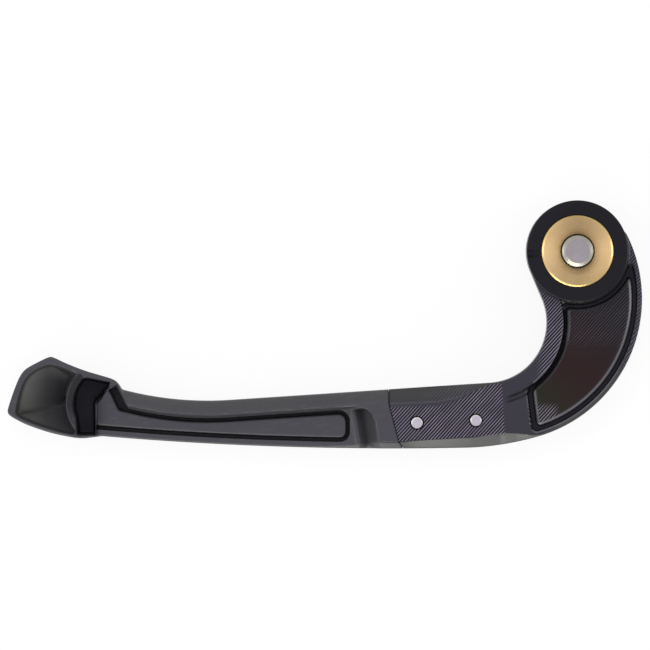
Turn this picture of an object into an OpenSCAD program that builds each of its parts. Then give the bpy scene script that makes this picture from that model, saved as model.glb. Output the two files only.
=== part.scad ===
// Brake lever guard for a handlebar end: a milled arm with a round boss, and a
// moulded blade that ends in a scooped wing. Millimetres.
// The origin is on the bolt's axis, at the face that seats on the bar end.
// +X runs along the guard from the wing to the boss and +Z is the way the bolt
// points, so the guard lies on its back below the origin.
// The outlines below are drawn with z = 0 at the guard's back.

/* [Boss] */
// Diameter of the round boss
boss_d = 32; // [30:0.5:34]
// Height of the boss, back to front
boss_h = 18; // [17:0.5:20]
// Gap between the boss's side and the pocket
pocket_gap = 0.8; // [0.5:0.1:1.5]
// Depth of the recess for the bolt head in the boss's back
head_recess_depth = 9; // [8.8:0.1:10]
// Thickness of the web between the bolt head's recess and the bush
web_t = 2.5; // [2:0.1:4]

/* [Bush and bolt] */
// Outer diameter of the brass bush
bush_d = 22.6; // [20:0.1:24]
// How far the bush stands out of the boss
bush_proud = 0.6; // [0.2:0.1:1.5]
// Diameter of the bolt's threaded end
bolt_d = 9.8; // [9.2:0.1:11]
// Diameter of the bolt's reduced shank
shank_d = 9; // [8:0.1:9]
// Gap between the bolt's thread and its holes, on the radius
bolt_gap = 0.35; // [0.2:0.05:0.5]
// Bolt length under the head
bolt_length = 16; // [15:0.5:20]
// Chamfer at the bolt's tip
bolt_tip = 1.1; // [0.5:0.1:1.5]
// Diameter of the bolt's head
head_d = 16; // [14:0.5:17]
// Height of the bolt's head
head_h = 7; // [6:0.1:7.2]
// Width across the flats of the hexagon in the bolt's head
socket_af = 7; // [5:0.5:8]
// Thickness of the washer under the head
washer_t = 1.6; // [1:0.1:1.8]
// Diameter of the washer
washer_d = 18; // [17.2:0.1:18.4]
// Diameter of the head's recess
recess_d = 18.6; // [18.5:0.1:20]

/* [Arm] */
// Thickness of the arm
arm_t = 14.5; // [13.5:0.1:15.5]
// Inner radius of the hook
bend_r = 19.1; // [17:0.1:20]
// Drop from the boss's axis to the tail's upper edge
tail_drop = 41.5; // [40:0.5:44]
// Lean of the neck that joins the hook to the boss, in degrees
neck_lean = 23.1; // [18:0.1:28]
// Slope of the tail's upper edge, in degrees
tail_slope = 3.78; // [2:0.1:5]
// Depth of the tail at the joint with the blade
tail_w = 18.7; // [17:0.1:21]
// Radius of the hook's outer sweep
sweep_r = 45.1; // [44:0.1:47]
// How far the sweep bulges out past the boss's side
sweep_bulge = 4.5; // [4:0.1:6]
// Drop from the boss's axis to the sweep's widest point
sweep_drop = 15; // [14:0.1:16]
// Width of the raised band that follows the hook's inside
band_w = 5.2; // [4:0.1:6]
// Step down from that band to the outer face
face_step = 1.7; // [1:0.1:2.2]
// Width of the rim outside the pocket
rim_w = 1.7; // [1.4:0.1:2.5]
// Width of the groove round the pocket's panel
groove_w = 1.45; // [1.2:0.05:1.8]
// Depth of that groove below the outer face
groove_depth = 1.9; // [1:0.1:2.4]
// Chamfer along the arm's sharp edges
edge = 0.5; // [0.3:0.1:0.8]
// Start of the milled ramp, left of the boss's axis
ramp_start = 23.2; // [21:0.1:25]
// Run of the ramp
ramp_run = 9; // [7:0.1:11]

/* [Joint] */
// Distance from the boss's axis to the seam, at the tail's upper edge
seam_x = 59.3; // [58:0.1:62]
// Lean of the seam, in degrees
seam_lean = 14.6; // [10:0.1:18]
// Gap between the blade and the arm at the seam
seam_gap = 0.2; // [0.1:0.05:0.3]
// Height of the blade's tongue above the back
tongue_z = 4.3; // [3.8:0.1:4.8]
// Thickness of the tongue
tongue_t = 5.8; // [5:0.1:6.4]
// Gap round the tongue
tongue_gap = 0.15; // [0.1:0.05:0.25]
// How far the tongue's edges lie inside the tail's
tongue_inset = 0.6; // [0.4:0.1:1.5]
// Distance from the boss's axis to the tongue's tip
tongue_tip = 27; // [25:0.1:28]
// Distance from the boss's axis to the outer screw
outer_screw_x = 50.5; // [48:0.1:52]
// Distance from the boss's axis to the inner screw
inner_screw_x = 31.9; // [31.5:0.1:36]
// Screw diameter
screw_d = 4; // [3:0.1:4.5]
// Screw length over its head
screw_length = 14; // [13:0.1:14.3]
// Head diameter of the screws
screw_head_d = 7.8; // [6.5:0.1:8.4]

/* [Blade] */
// Thickness of the blade
blade_t = 14.5; // [13.5:0.1:15.5]
// Width of the slope along the blade's upper edge
slope_w = 4.2; // [3:0.1:5]
// Drop of that slope
slope_drop = 4; // [3:0.1:5]
// Radius of the blade's upper edge, where it curves up to the wing
blade_top_r = 105; // [95:1:120]
// Distance from the boss's axis to that curve's lowest point
blade_low_x = 116.5; // [112:0.5:121]
// Radius of the blade's long lower edge
blade_low_r = 1090; // [900:10:1500]
// Depth of the sunk face below the blade's upper face
sunk = 3; // [2:0.1:4]
// Radius of the scoop that ends the sunk face
scoop_r = 4.5; // [4.2:0.1:7]
// Distance from the boss's axis to the scoop's foot
scoop_x = 69.4; // [68.5:0.1:71]
// Width of the channel round the blade's panel
channel_w = 1.35; // [1:0.05:1.6]
// Depth of that channel below the panel
channel_depth = 2; // [1:0.1:3]
// Width of the lip below the lower channel
lip_w = 2.4; // [2:0.1:3]

/* [Wing] */
// Height of the wing's rim at its outer end
wing_h = 17; // [16:0.1:18]
// Depth of the hollow behind the wing's inner wall
hollow_depth = 10.5; // [8:0.5:11]
// Thickness of the wing's curved inner wall
wall_t = 2.2; // [1.8:0.1:2.5]
// Outer radius of that wall's bow
bow_r = 13.7; // [13:0.1:15]

/* [Hidden] */
$fn = 96;
// Overlap of every cutter past the face it cuts
over = 1;
boss_r = boss_d / 2;
seat_z = boss_h + bush_proud;
bore_d = bolt_d + 2 * bolt_gap;
face_z = arm_t - face_step;
floor_z = face_z - groove_depth;
// Centre of the hook's inner arc, from the neck that is tangent to boss and arc
neck_run = (tail_drop - bend_r - (boss_r + bend_r) * sin(neck_lean)) / cos(neck_lean);
bend_c = [
    -(boss_r + bend_r) * cos(neck_lean) + neck_run * sin(neck_lean),
    -(tail_drop - bend_r)
];
neck_foot = bend_c + bend_r * [cos(neck_lean), sin(neck_lean)];
neck_top = neck_foot + (neck_run - over) * [-sin(neck_lean), cos(neck_lean)];
sweep_c = [boss_r + sweep_bulge - sweep_r, -sweep_drop];
// Where the straight upper edge leaves the hook's arc, and where the blade's curve takes over
line_start = bend_c + bend_r * [sin(tail_slope), -cos(tail_slope)];
curve_start = -blade_low_x + blade_top_r * sin(tail_slope);
// The lower edge's deepest point lies under the joint
low_x = -(seam_x - 1.3);
low_y = line_y(low_x) - tail_w;
// Angles between which the outer sweep runs, from the tail's bend to the boss
sweep_from = -73.5;
sweep_to = 27;
// Where the lower edge of the tail starts to bend up to the sweep
tail_bend_x = -34;
// Pocket corner radius
corner_r = 1.2;
// Gap between the raised band and the pocket's groove
band_gap = 0.2;
panel_z = blade_t - sunk;
// Root of the wing: the middle of the blade's edges at the panel's end
root_x = -(blade_low_x + 35);
root = [root_x, (top_y(root_x) + low_edge(root_x)) / 2];
// The wing's outlines are drawn round its root for a blade of this depth there
drawn_w = 17.05;
root_scale = (top_y(root_x) - low_edge(root_x)) / drawn_w;
// Centre of the bow of the wing's inner wall
bow_c = root + [4.1, 1.7];

// Points on an arc round c from angle a0 to a1, in n steps
function arc(c, r, a0, a1, n) =
    [for (i = [0:n]) let (a = a0 + (a1 - a0) * i / n) c + r * [cos(a), sin(a)]];

// Points on a cubic Bezier curve, in n steps
function bezier(p, n) = [
    for (i = [0:n])
        let (t = i / n, s = 1 - t)
            s * s * s * p[0] + 3 * s * s * t * p[1] + 3 * s * t * t * p[2] + t * t * t * p[3]
];

// Values from a to b in n steps
function steps(a, b, n) = [for (i = [0:n]) a + (b - a) * i / n];

// Height of the straight upper edge at x
function line_y(x) = line_start.y + (x - line_start.x) * tan(tail_slope);

// Height of the guard's upper edge at x, straight and then curving up to the wing
function top_y(x) =
    x > curve_start ? line_y(x)
    : line_y(curve_start)
        + blade_top_r * cos(tail_slope) - sqrt(blade_top_r ^ 2 - (x + blade_low_x) ^ 2);

// Height of the guard's lower edge at x
function low_edge(x) = low_y + blade_low_r - sqrt(blade_low_r ^ 2 - (x - low_x) ^ 2);

// Points drawn round the wing's root, moved to the blade's end
function at_root(points) = [for (p = points) root + [p.x, p.y * root_scale]];

// Middle of a ring of points
function middle(ring) = [for (i = [0:2]) [for (p = ring) p[i]] * [for (p = ring) 1] / len(ring)];

// A closed skin over rings that all have the same number of points. Each end is a fan
// round the ring's middle.
module skin(rings) {
    n = len(rings[0]);
    m = len(rings);
    points = concat([for (ring = rings) for (p = ring) p], [middle(rings[0]), middle(rings[m - 1])]);
    sides = [
        for (j = [0:m - 2]) for (i = [0:n - 1])
            let (a = j * n + i, b = j * n + (i + 1) % n)
                each [[a, b + n, b], [a, a + n, b + n]]
    ];
    first = [for (i = [0:n - 1]) [i, (i + 1) % n, m * n]];
    last = [for (i = [0:n - 1]) (m - 1) * n * [1, 1, 0] + [(i + 1) % n, i, m * n + 1]];
    polyhedron(points, concat(first, sides, last), convexity = 10);
}

// Inner and outer edges of the arm, station by station from the tail to the boss
tail_steps = 8;
blend_steps = 8;
bend_steps = 34;
tail_end = -(seam_x + 6);
inner_edge = concat(
    [for (x = steps(tail_end, line_start.x, tail_steps)) [x, line_y(x)]],
    [for (i = [1:bend_steps])
        let (a = tail_slope - 90 + (neck_lean + 90 - tail_slope) * i / bend_steps)
            bend_c + bend_r * [cos(a), sin(a)]],
    [neck_top, 0.8 * boss_r * [cos(195), sin(195)]]
);
sweep_start = sweep_c + sweep_r * [cos(sweep_from), sin(sweep_from)];
blend = bezier([
    [tail_bend_x, low_edge(tail_bend_x)],
    [tail_bend_x + 8, low_edge(tail_bend_x) + 0.3],
    sweep_start + 7 * [sin(sweep_from), -cos(sweep_from)],
    sweep_start
], blend_steps);
outer_edge = concat(
    [for (x = steps(tail_end + tail_w * tan(seam_lean), tail_bend_x, tail_steps)) [x, low_edge(x)]],
    [for (i = [1:blend_steps]) blend[i]],
    [for (i = [1:bend_steps - blend_steps])
        let (a = sweep_from + (sweep_to - sweep_from) * i / (bend_steps - blend_steps))
            sweep_c + sweep_r * [cos(a), sin(a)]],
    [0.96 * boss_r * [cos(41), sin(41)], 0.8 * boss_r * [cos(50), sin(50)]]
);

// Width of the slope along the tail's upper edge: it runs out before the hook
function upper_slope(x) =
    lookup(x - line_start.x, [
        [-32, slope_w], [-16.6, slope_w + 0.4], [-10.6, slope_w - 0.5],
        [-6.6, slope_w - 2], [-2.6, 1], [0, edge]
    ]);

// Width of the slope along the tail's lower edge: it widens and runs out into the sweep
function lower_slope(x) =
    lookup(x - sweep_start.x, [[-48, 2], [-12.2, 3.8], [-7.2, 2.6], [-2.2, 0.8], [0.8, edge]]);

// One cross-section of the arm: inner wall, slopes, top face, outer wall, back
function arm_ring(k) =
    let (
        a = inner_edge[k],
        b = outer_edge[k],
        d = (b - a) / norm(b - a),
        wa = upper_slope(a.x),
        hook = k > tail_steps + blend_steps - 1,
        above = 0.3,
        wb = hook ? edge + above / 0.9 : lower_slope(b.x),
        top_b = hook ? face_z + above : arm_t,
        mid = hook ? band_w : norm(b - a) / 2
    ) [
        [a.x, a.y, edge],
        [a.x, a.y, arm_t - wa * slope_drop / slope_w],
        [a.x + d.x * wa, a.y + d.y * wa, arm_t],
        [a.x + d.x * mid, a.y + d.y * mid, arm_t],
        [b.x - d.x * wb, b.y - d.y * wb, top_b],
        [b.x, b.y, top_b - wb * 0.9],
        [b.x, b.y, edge],
        [b.x - d.x * edge, b.y - d.y * edge, 0],
        [a.x + d.x * edge, a.y + d.y * edge, 0]
    ];

// Plan of the seam: everything to the left of it, moved by shift
module left_of_seam(shift) {
    knee = -seam_x - 0.1;
    polygon([
        [-200, -30], [-seam_x + shift, -30], [-seam_x + shift, top_y(-seam_x)],
        [knee + shift + 0.2, top_y(knee) - slope_w - 0.4],
        [knee + shift + 0.2 + (tail_w - slope_w - 2.4) * tan(seam_lean), low_edge(low_x) + 2],
        [knee + shift + 1.4 + (tail_w - slope_w - 2) * tan(seam_lean), low_edge(low_x)],
        [knee + shift + 1.4 + (tail_w - slope_w - 2) * tan(seam_lean), -80],
        [-200, -80]
    ]);
}

// Everything outside the hook's raised band, lowered along a ramp to the outer face
module lowered_face() {
    rise = face_step / ramp_run;
    difference() {
        translate([0, boss_r, 0]) rotate([90, 0, 0]) linear_extrude(90)
            polygon([
                [-ramp_start - over / rise, arm_t + over], [-ramp_start + ramp_run, face_z],
                [boss_d, face_z], [boss_d, arm_t + over]
            ]);
        translate([bend_c.x, bend_c.y, 0]) cylinder(r = bend_r + band_w, h = arm_t + 2 * over);
    }
}

// Plan of the crescent pocket between the band, the rim, the boss and the ramp
module pocket_plan() {
    difference() {
        intersection() {
            translate(sweep_c) circle(r = sweep_r - rim_w);
            translate([-ramp_start + ramp_run - 1.6, line_y(-ramp_start) - 0.5])
                rotate(seam_lean - 8) translate([0, -60]) square([90, 100]);
        }
        translate(bend_c) circle(r = bend_r + band_w + band_gap);
        circle(r = boss_r + pocket_gap);
    }
}

// Groove round the pocket's panel
module pocket_groove() {
    translate([0, 0, floor_z]) linear_extrude(arm_t)
        difference() {
            offset(r = corner_r, $fn = 32) offset(delta = -corner_r) pocket_plan();
            offset(r = corner_r, $fn = 32) offset(delta = -corner_r - groove_w) pocket_plan();
        }
}

// Plan of the tongue, or of its slot with grow added all round
module tongue_plan(grow) {
    tip = -tongue_tip + grow;
    tip_r = 5;
    xs = steps(-seam_x - 4, tip - tip_r, 10);
    inset = tongue_inset - grow;
    upper = [for (x = xs) [x, top_y(x) - inset]];
    lower = [for (i = [10:-1:0]) [xs[i], low_edge(xs[i]) + inset]];
    end_upper = arc([tip - tip_r, top_y(tip - tip_r) - inset - tip_r], tip_r, 90, 0, 6);
    end_lower = arc([tip - tip_r, low_edge(tip - tip_r) + inset + tip_r], tip_r, 0, -90, 6);
    polygon(concat(upper, end_upper, end_lower, lower));
}

// Slot through the tail for the tongue, open at both edges
module tongue_slot() {
    translate([0, 0, tongue_z - tongue_gap]) linear_extrude(tongue_t + 2 * tongue_gap) {
        tongue_plan(tongue_gap);
        translate([-seam_x - 10, low_y - 4])
            square([seam_x + 10 - tongue_tip - 5, tail_w + 8]);
    }
}

// A little below the tail's middle line at x
function screw_at(x) = [x, (top_y(x) + low_edge(x)) / 2 - 1.5, 0];
screw_cone = (screw_head_d - screw_d) / 2;
screw_sunk = 0.3;

// Children at each of the two screws
module at_screws() {
    for (x = [-outer_screw_x, -inner_screw_x]) translate(screw_at(x)) children();
}

// Milled arm: flat tail, hook, boss, crescent pocket and the slot for the blade
module arm() {
    tapped_z = tongue_z + tongue_t / 2;
    cone_h = screw_cone + screw_sunk + over;
    color("#1c1c20") translate([0, 0, -seat_z]) difference() {
        union() {
            difference() {
                skin([for (k = [0:len(inner_edge) - 1]) arm_ring(k)]);
                lowered_face();
                pocket_groove();
                translate([0, 0, -over]) linear_extrude(arm_t + 2 * over) left_of_seam(0);
                tongue_slot();
            }
            cylinder(d = boss_d, h = boss_h);
        }
        translate([0, 0, head_recess_depth + web_t])
            cylinder(d = bush_d + 0.04, h = boss_h);
        translate([0, 0, -over]) cylinder(d = bore_d, h = boss_h);
        translate([0, 0, -over]) cylinder(d = recess_d, h = head_recess_depth + over);
        at_screws() {
            translate([0, 0, -over]) cylinder(d = screw_d + 0.3, h = tapped_z);
            translate([0, 0, tapped_z - 2 * over]) cylinder(d = screw_d + 0.04, h = arm_t);
            translate([0, 0, -over])
                cylinder(d1 = screw_d + 0.3 + 2 * cone_h, d2 = screw_d + 0.3, h = cone_h);
        }
    }
}

// Depth of the flat behind the blade's slope: the lip that overhangs the sunk face
function lip_z(x) = lookup(x + scoop_x, [[-8.5, blade_t - 1.2], [3.5, blade_t]]);
// Height of the blade's lower edge, below its chamfer
function under_z(x) = lookup(x + scoop_x, [[-2.5, panel_z - 0.8], [5.5, panel_z + 0.4]]);

// One cross-section of the blade at x: slope, lip, flat, lower edge and rounded back
function blade_ring(x) =
    let (t = top_y(x), b = low_edge(x)) [
        for (p = [
            [t, blade_t - slope_drop],
            [t - slope_w * 0.45, blade_t - slope_drop * 0.35],
            [t - slope_w, blade_t],
            [t - slope_w - 1.3, lip_z(x)],
            [b + 2.1, lip_z(x)],
            [b, under_z(x)],
            [b, 4], [b + 1, 1.4], [b + 3.4, 0],
            [t - 3.4, 0], [t - 1, 1.4], [t, 4]
        ]) [x, p[0], p[1]]
    ];

// Plan of the sunk face, from the wing to the scoop and out past the lower edge
module sunk_plan() {
    end = -scoop_x + 1.6;
    end_r = 3.4;
    xs = steps(root.x + 10, end, 20);
    polygon(concat(
        at_root([[-1.5, -30], [-1.5, 2.1], [2, 7.1], [6.6, 7.6]]),
        [for (x = xs) [x, top_y(x) - slope_w - 1.5]],
        arc([end, top_y(end) - slope_w - 1.5 - end_r], end_r, 84, 10, 6),
        [[-50, top_y(-64) - slope_w - 6], [-50, -80]]
    ));
}

// Cutter that sinks the blade's face and leaves the land that its scoop climbs to
module sunk_face() {
    scoop_rise = sunk + over / 2;
    scoop_turn = acos(1 - scoop_rise / scoop_r);
    difference() {
        translate([0, 0, panel_z]) linear_extrude(sunk + over) sunk_plan();
        translate([-scoop_x, line_y(-scoop_x), 0]) rotate(seam_lean - 5)
            rotate([90, 0, 0]) translate([0, 0, -20]) linear_extrude(60)
                polygon(concat(
                    [[0, panel_z - over]],
                    [for (i = [0:10])
                        let (a = scoop_turn * i / 10)
                            [scoop_r * sin(a), panel_z + scoop_r * (1 - cos(a))]],
                    [[40, panel_z + scoop_rise], [40, panel_z - over]]
                ));
    }
}

// Plan of the blade's panel, or of its channel's outer edge with grow added
module panel_plan(grow) {
    end = -scoop_x - 4 + grow;
    r_upper = 2.2 + grow;
    r_lower = 1.6 + grow;
    inset = slope_w + 1.6 + channel_w - grow;
    lift = lip_w + channel_w - grow;
    upper = steps(root.x + 7 + grow * 1.9, end - r_upper, 20);
    lower = steps(end - r_lower, root.x - 0.5, 20);
    polygon(concat(
        at_root([[-0.5, 1.7 + grow], [3.7 + grow * 1.6, 6.7 + grow * 0.3]]),
        [for (x = upper) [x, top_y(x) - inset]],
        arc([end - r_upper, top_y(end - r_upper) - inset - r_upper], r_upper, 90, 0, 5),
        arc([end - r_lower, low_edge(end - r_lower) + lift + r_lower], r_lower, 0, -90, 5),
        [for (x = lower) [x, low_edge(x) + lift]]
    ));
}

// Channel round the panel
module panel_channel() {
    translate([0, 0, panel_z - channel_depth]) linear_extrude(channel_depth + over)
        difference() {
            panel_plan(channel_w);
            panel_plan(0);
        }
}

// The wing's outline from above, from its shoulder round the tip to the lower edge
wing_edge = at_root([
    [8.3, 5.4], [6.9, 8], [5.1, 9.4], [0.7, 10.7], [-3.1, 11.8], [-6.9, 13.2], [-10.7, 14.8],
    [-13.9, 16.4], [-15.1, 16.3], [-18, 14.9], [-21.1, 13.3], [-22.9, 12], [-24.4, 9.7],
    [-25.9, 5.9], [-27.1, 2.4], [-27.9, -0.2], [-27.9, -1.3], [-27.1, -2.3], [-24.5, -3.8],
    [-22, -5], [-18.2, -6.4], [-14.4, -7.6], [-10.7, -8.4], [-6.9, -9.1], [-4.1, -9.3],
    [-1.1, -9], [4.5, -9], [8, -2.4]
]);
// The inside of the wing's rim, left of the inner wall
dish_edge = concat(
    at_root([
        [-6.5, 11.7], [-12.9, 14], [-16.2, 13.8], [-20.3, 11.7], [-22.9, 8.7], [-24.4, 4.3],
        [-25.5, -0.8], [-25.1, -2.3], [-21.8, -3.9], [-18.1, -5.3], [-14.3, -6.5], [-10.5, -7.4]
    ]),
    arc(bow_c, bow_r, 218, 137, 8)
);
wing_mid = root + [-8.5, 2.6];

// Height of the wing's rim: it climbs from the blade to the tip
function rim_z(x) = blade_t + (wing_h - blade_t) * (root.x + 8.5 - x) / 36.4;

// A ring of the wing's outline, drawn in towards its middle by s, at height z above the back
function wing_ring(s, z, climb) = [
    for (p = wing_edge)
        let (q = wing_mid + s * (p - wing_mid))
            [q.x, q.y, z + climb * (rim_z(p.x) - blade_t)]
];

// Solid form of the wing: a rim with upright sides over a back that tapers in
module wing_body() {
    skin([
        wing_ring(0.72, 0.4, 0), wing_ring(0.9, 2.4, 0.1), wing_ring(0.98, 6.5, 0.5),
        wing_ring(1, 10.5, 1), wing_ring(1, blade_t - 0.6, 1), wing_ring(0.985, blade_t, 1)
    ]);
}

// Crease along the dish's floor, where its two facets meet
function crease_y(x) = root.y - 1.4 + (x - root.x + 25) * 0.19;
function crease_z(x) = lookup(x - root.x, [[-25.5, 8.5], [-8.5, 4.2]]);

// Ring of the dish: narrow 0 is the rim's inside and 1 is the crease
function dish_ring(narrow, z, deep) = [
    for (p = dish_edge)
        let (x = root.x - 17 + (p.x - root.x + 17) * (1 - 0.16 * narrow))
            [x, p.y + (crease_y(x) - p.y) * 0.86 * narrow,
                z * (1 - deep) + crease_z(x) * deep]
];

// Hollow of the wing's dish, left of the inner wall
module wing_dish() {
    skin([
        dish_ring(1, 0, 1), dish_ring(0.14, 11, 0.35), dish_ring(0, 13.6, 0),
        dish_ring(-0.02, wing_h + over, 0)
    ]);
}

// Hollow between the wing's inner wall and the panel's end
module wing_hollow() {
    translate([0, 0, blade_t - hollow_depth]) linear_extrude(wing_h)
        polygon(concat(
            at_root([[4.1, 8.3], [-2.8, 9.5]]),
            arc(bow_c, bow_r - wall_t, 137, 200, 7),
            at_root([[-6, -7.6], [-5.4, -7.9], [0, -7.9], [0.1, -5.3], [-0.1, 1.7], [3.8, 6.7]])
        ));
}

// Moulded blade with its tongue, sunk panel, scoop and wing
module blade() {
    color("#2b2d30") translate([0, 0, -seat_z]) difference() {
        union() {
            intersection() {
                skin([for (x = steps(root.x - 1.4, -seam_x + 8, 40)) blade_ring(x)]);
                translate([0, 0, -over]) linear_extrude(blade_t + 2 * over)
                    left_of_seam(-seam_gap);
            }
            translate([0, 0, tongue_z]) linear_extrude(tongue_t) tongue_plan(0);
            wing_body();
        }
        sunk_face();
        panel_channel();
        wing_dish();
        wing_hollow();
        at_screws() translate([0, 0, tongue_z - over])
            cylinder(d = screw_d + 0.3, h = tongue_t + 2 * over);
    }
}

// Turned brass bush in the front of the boss
module boss_bush() {
    base = head_recess_depth + web_t;
    chamfer = 0.6;
    color("#c9a24a") translate([0, 0, base - seat_z]) difference() {
        union() {
            cylinder(d = bush_d, h = seat_z - base - chamfer);
            translate([0, 0, seat_z - base - chamfer])
                cylinder(d1 = bush_d, d2 = bush_d - 2 * chamfer, h = chamfer);
        }
        translate([0, 0, -over]) cylinder(d = bore_d, h = seat_z);
    }
}

head_top = head_recess_depth - washer_t;
tip_z = head_top + bolt_length;

// Low-head bolt with a hexagon socket, a reduced shank and a threaded end
module centre_bolt() {
    socket_depth = head_h * 0.6;
    head_chamfer = 0.6;
    color("#b9b9bd") translate([0, 0, -seat_z]) difference() {
        union() {
            translate([0, 0, head_top - head_h])
                cylinder(d1 = head_d - 2 * head_chamfer, d2 = head_d, h = head_chamfer);
            translate([0, 0, head_top - head_h + head_chamfer])
                cylinder(d = head_d, h = head_h - head_chamfer);
            translate([0, 0, head_top - over])
                cylinder(d = shank_d, h = seat_z - head_top + 2 * over);
            translate([0, 0, seat_z]) cylinder(d = bolt_d, h = tip_z - bolt_tip - seat_z);
            translate([0, 0, tip_z - bolt_tip])
                cylinder(d1 = bolt_d, d2 = bolt_d - 2 * bolt_tip, h = bolt_tip);
        }
        translate([0, 0, head_top - head_h - over])
            cylinder(d = socket_af / cos(30), h = socket_depth + over, $fn = 6);
    }
}

// Plain washer between the bolt's head and the web
module bolt_washer() {
    color("#a4a5a8") translate([0, 0, head_top - seat_z]) difference() {
        cylinder(d = washer_d, h = washer_t);
        translate([0, 0, -over]) cylinder(d = bore_d, h = washer_t + 2 * over);
    }
}

// Two countersunk screws that clamp the tongue and end flush in the arm's face
module blade_screws() {
    tip = 0.4;
    color("#b9b9bd") translate([0, 0, screw_sunk - seat_z]) at_screws() difference() {
        union() {
            cylinder(d1 = screw_head_d, d2 = screw_d, h = screw_cone);
            translate([0, 0, screw_cone / 2])
                cylinder(d = screw_d, h = screw_length - tip - screw_cone / 2);
            translate([0, 0, screw_length - tip])
                cylinder(d1 = screw_d, d2 = screw_d - 2 * tip, h = tip);
        }
        translate([0, 0, -over]) cylinder(d = 2.5 / cos(30), h = 1.6 + over, $fn = 6);
    }
}

arm();
blade();
boss_bush();
centre_bolt();
bolt_washer();
blade_screws();
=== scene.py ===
# %% [markdown]
# A brake lever guard, lying on its flat back
#
# The real object is a guard that bolts into the end of a motorcycle's handlebar and stands in front of
# the brake lever. It has a milled, black anodised arm that hooks round from a round boss, and a blade
# moulded in glass-filled plastic that ends in a scooped wing. A brass bush, a bolt, a washer and two
# screws hold it all.
#
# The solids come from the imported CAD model. They have the right sizes, but sharp edges and coarse curves.
# This lesson works out the two big pieces again as fine surfaces with rounded edges, turns the fasteners
# on a virtual lathe, and gives each piece a finish. Every new shape is worked out with numpy, as whole
# arrays.

import bmesh
import bpy
import numpy as np
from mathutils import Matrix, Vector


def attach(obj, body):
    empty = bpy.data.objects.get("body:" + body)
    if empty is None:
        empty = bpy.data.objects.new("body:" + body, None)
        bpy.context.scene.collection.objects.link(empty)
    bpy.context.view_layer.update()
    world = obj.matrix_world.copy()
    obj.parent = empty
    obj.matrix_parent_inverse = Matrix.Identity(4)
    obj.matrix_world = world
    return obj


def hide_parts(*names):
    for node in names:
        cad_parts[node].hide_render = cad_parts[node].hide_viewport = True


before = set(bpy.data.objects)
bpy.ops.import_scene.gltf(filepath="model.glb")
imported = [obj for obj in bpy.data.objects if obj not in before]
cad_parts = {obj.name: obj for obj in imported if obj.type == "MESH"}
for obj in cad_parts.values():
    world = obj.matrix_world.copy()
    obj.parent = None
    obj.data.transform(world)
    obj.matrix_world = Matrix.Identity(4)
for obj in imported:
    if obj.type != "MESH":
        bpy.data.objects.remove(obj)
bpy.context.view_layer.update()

# %% [markdown]
# The camera comes first. It looks straight down, because the photograph does, and a long lens keeps the
# upright walls from showing. The photograph covers 204.75 mm from side to side, which fixes how far away
# the camera stands: the distance is the width seen times the lens's length, divided by the sensor's
# width.

# %% Camera
mm = 0.001
width_seen = 204.75 * mm
middle_x, middle_y, middle_z = -79.47 * mm, -23.25 * mm, -4 * mm
lens, sensor = 600.0, 36.0

camera_data = bpy.data.cameras.new("camera")
camera_data.lens = lens
camera_data.sensor_width = sensor
camera = bpy.data.objects.new("camera", camera_data)
camera.location = (middle_x, middle_y, middle_z + width_seen * lens / sensor)
camera_data.clip_start = 0.01
camera_data.clip_end = 100
bpy.context.scene.collection.objects.link(camera)
bpy.context.scene.camera = camera
bpy.context.scene.view_settings.view_transform = "Standard"
print("camera is", round(camera.location.z, 3), "m above the bar end's face")

# %% [markdown]
# The sizes below repeat the ones that the solids were made from, in millimetres. The origin is on the
# bolt's axis, and outlines are drawn with z = 0 at the guard's back, seat_z below the bar end's face.

# %% Sizes of the arm and the blade
seat_z = 18.6
boss_r = 16.0
pocket_gap = 0.8
arm_t = 14.5
face_step = 1.7
bend_r = 19.1
tail_drop = 41.5
neck_lean = np.radians(23.1)
tail_slope = np.radians(3.78)
tail_w = 18.7
sweep_r = 45.1
sweep_c = np.array([boss_r + 4.5 - sweep_r, -15.0])
band_w = 5.2
rim_w = 1.7
groove_depth = 1.9
seam_x = 59.3
seam_lean = np.radians(14.6)
slope_w = 4.2
slope_drop = 4.0
blade_top_r = 105.0
blade_low_x = 116.5
blade_low_r = 1090.0
panel_z = 11.5
edge_r = 0.3
print("the arm is", arm_t, "mm thick and the tail", tail_w, "mm wide")

# %% [markdown]
# The hook's inner arc is tangent to the straight tail and to the neck, and the neck is tangent to the
# boss. That gives the arc's centre without measuring it. The same functions give the guard's upper and
# lower edge at any place along it, so the arm and the blade meet in one smooth line.

# %% Edges of the guard
neck_run = (tail_drop - bend_r - (boss_r + bend_r) * np.sin(neck_lean)) / np.cos(neck_lean)
bend_c = np.array([
    -(boss_r + bend_r) * np.cos(neck_lean) + neck_run * np.sin(neck_lean),
    -(tail_drop - bend_r),
])
line_start = bend_c + bend_r * np.array([np.sin(tail_slope), -np.cos(tail_slope)])
curve_start = -blade_low_x + blade_top_r * np.sin(tail_slope)


def line_y(x):
    """Height of the straight upper edge: a line that leaves the hook's arc at the tail's slope."""
    return line_start[1] + (x - line_start[0]) * np.tan(tail_slope)


def top_y(x):
    """Height of the upper edge: the line, and left of curve_start a circle that is tangent to it."""
    inside = np.clip(blade_top_r**2 - (x + blade_low_x) ** 2, 0, None)
    curve = line_y(curve_start) + blade_top_r * np.cos(tail_slope) - np.sqrt(inside)
    return np.where(x > curve_start, line_y(x), curve)


low_x = -(seam_x - 1.3)
low_y = line_y(low_x) - tail_w


def low_edge(x):
    """Height of the lower edge: one long circle whose lowest point lies under the joint."""
    return low_y + blade_low_r - np.sqrt(blade_low_r**2 - (x - low_x) ** 2)


print("hook's centre:", bend_c.round(2), " tail's lowest point:", round(float(low_y), 2))

# %% [markdown]
# Small helpers for curves. A polyline is resampled by its length, and its corners can be cut again and
# again until they are round. The distance from an outline is the most useful number here: a groove, a
# rounded edge or a step is a height that depends on it alone.

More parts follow.
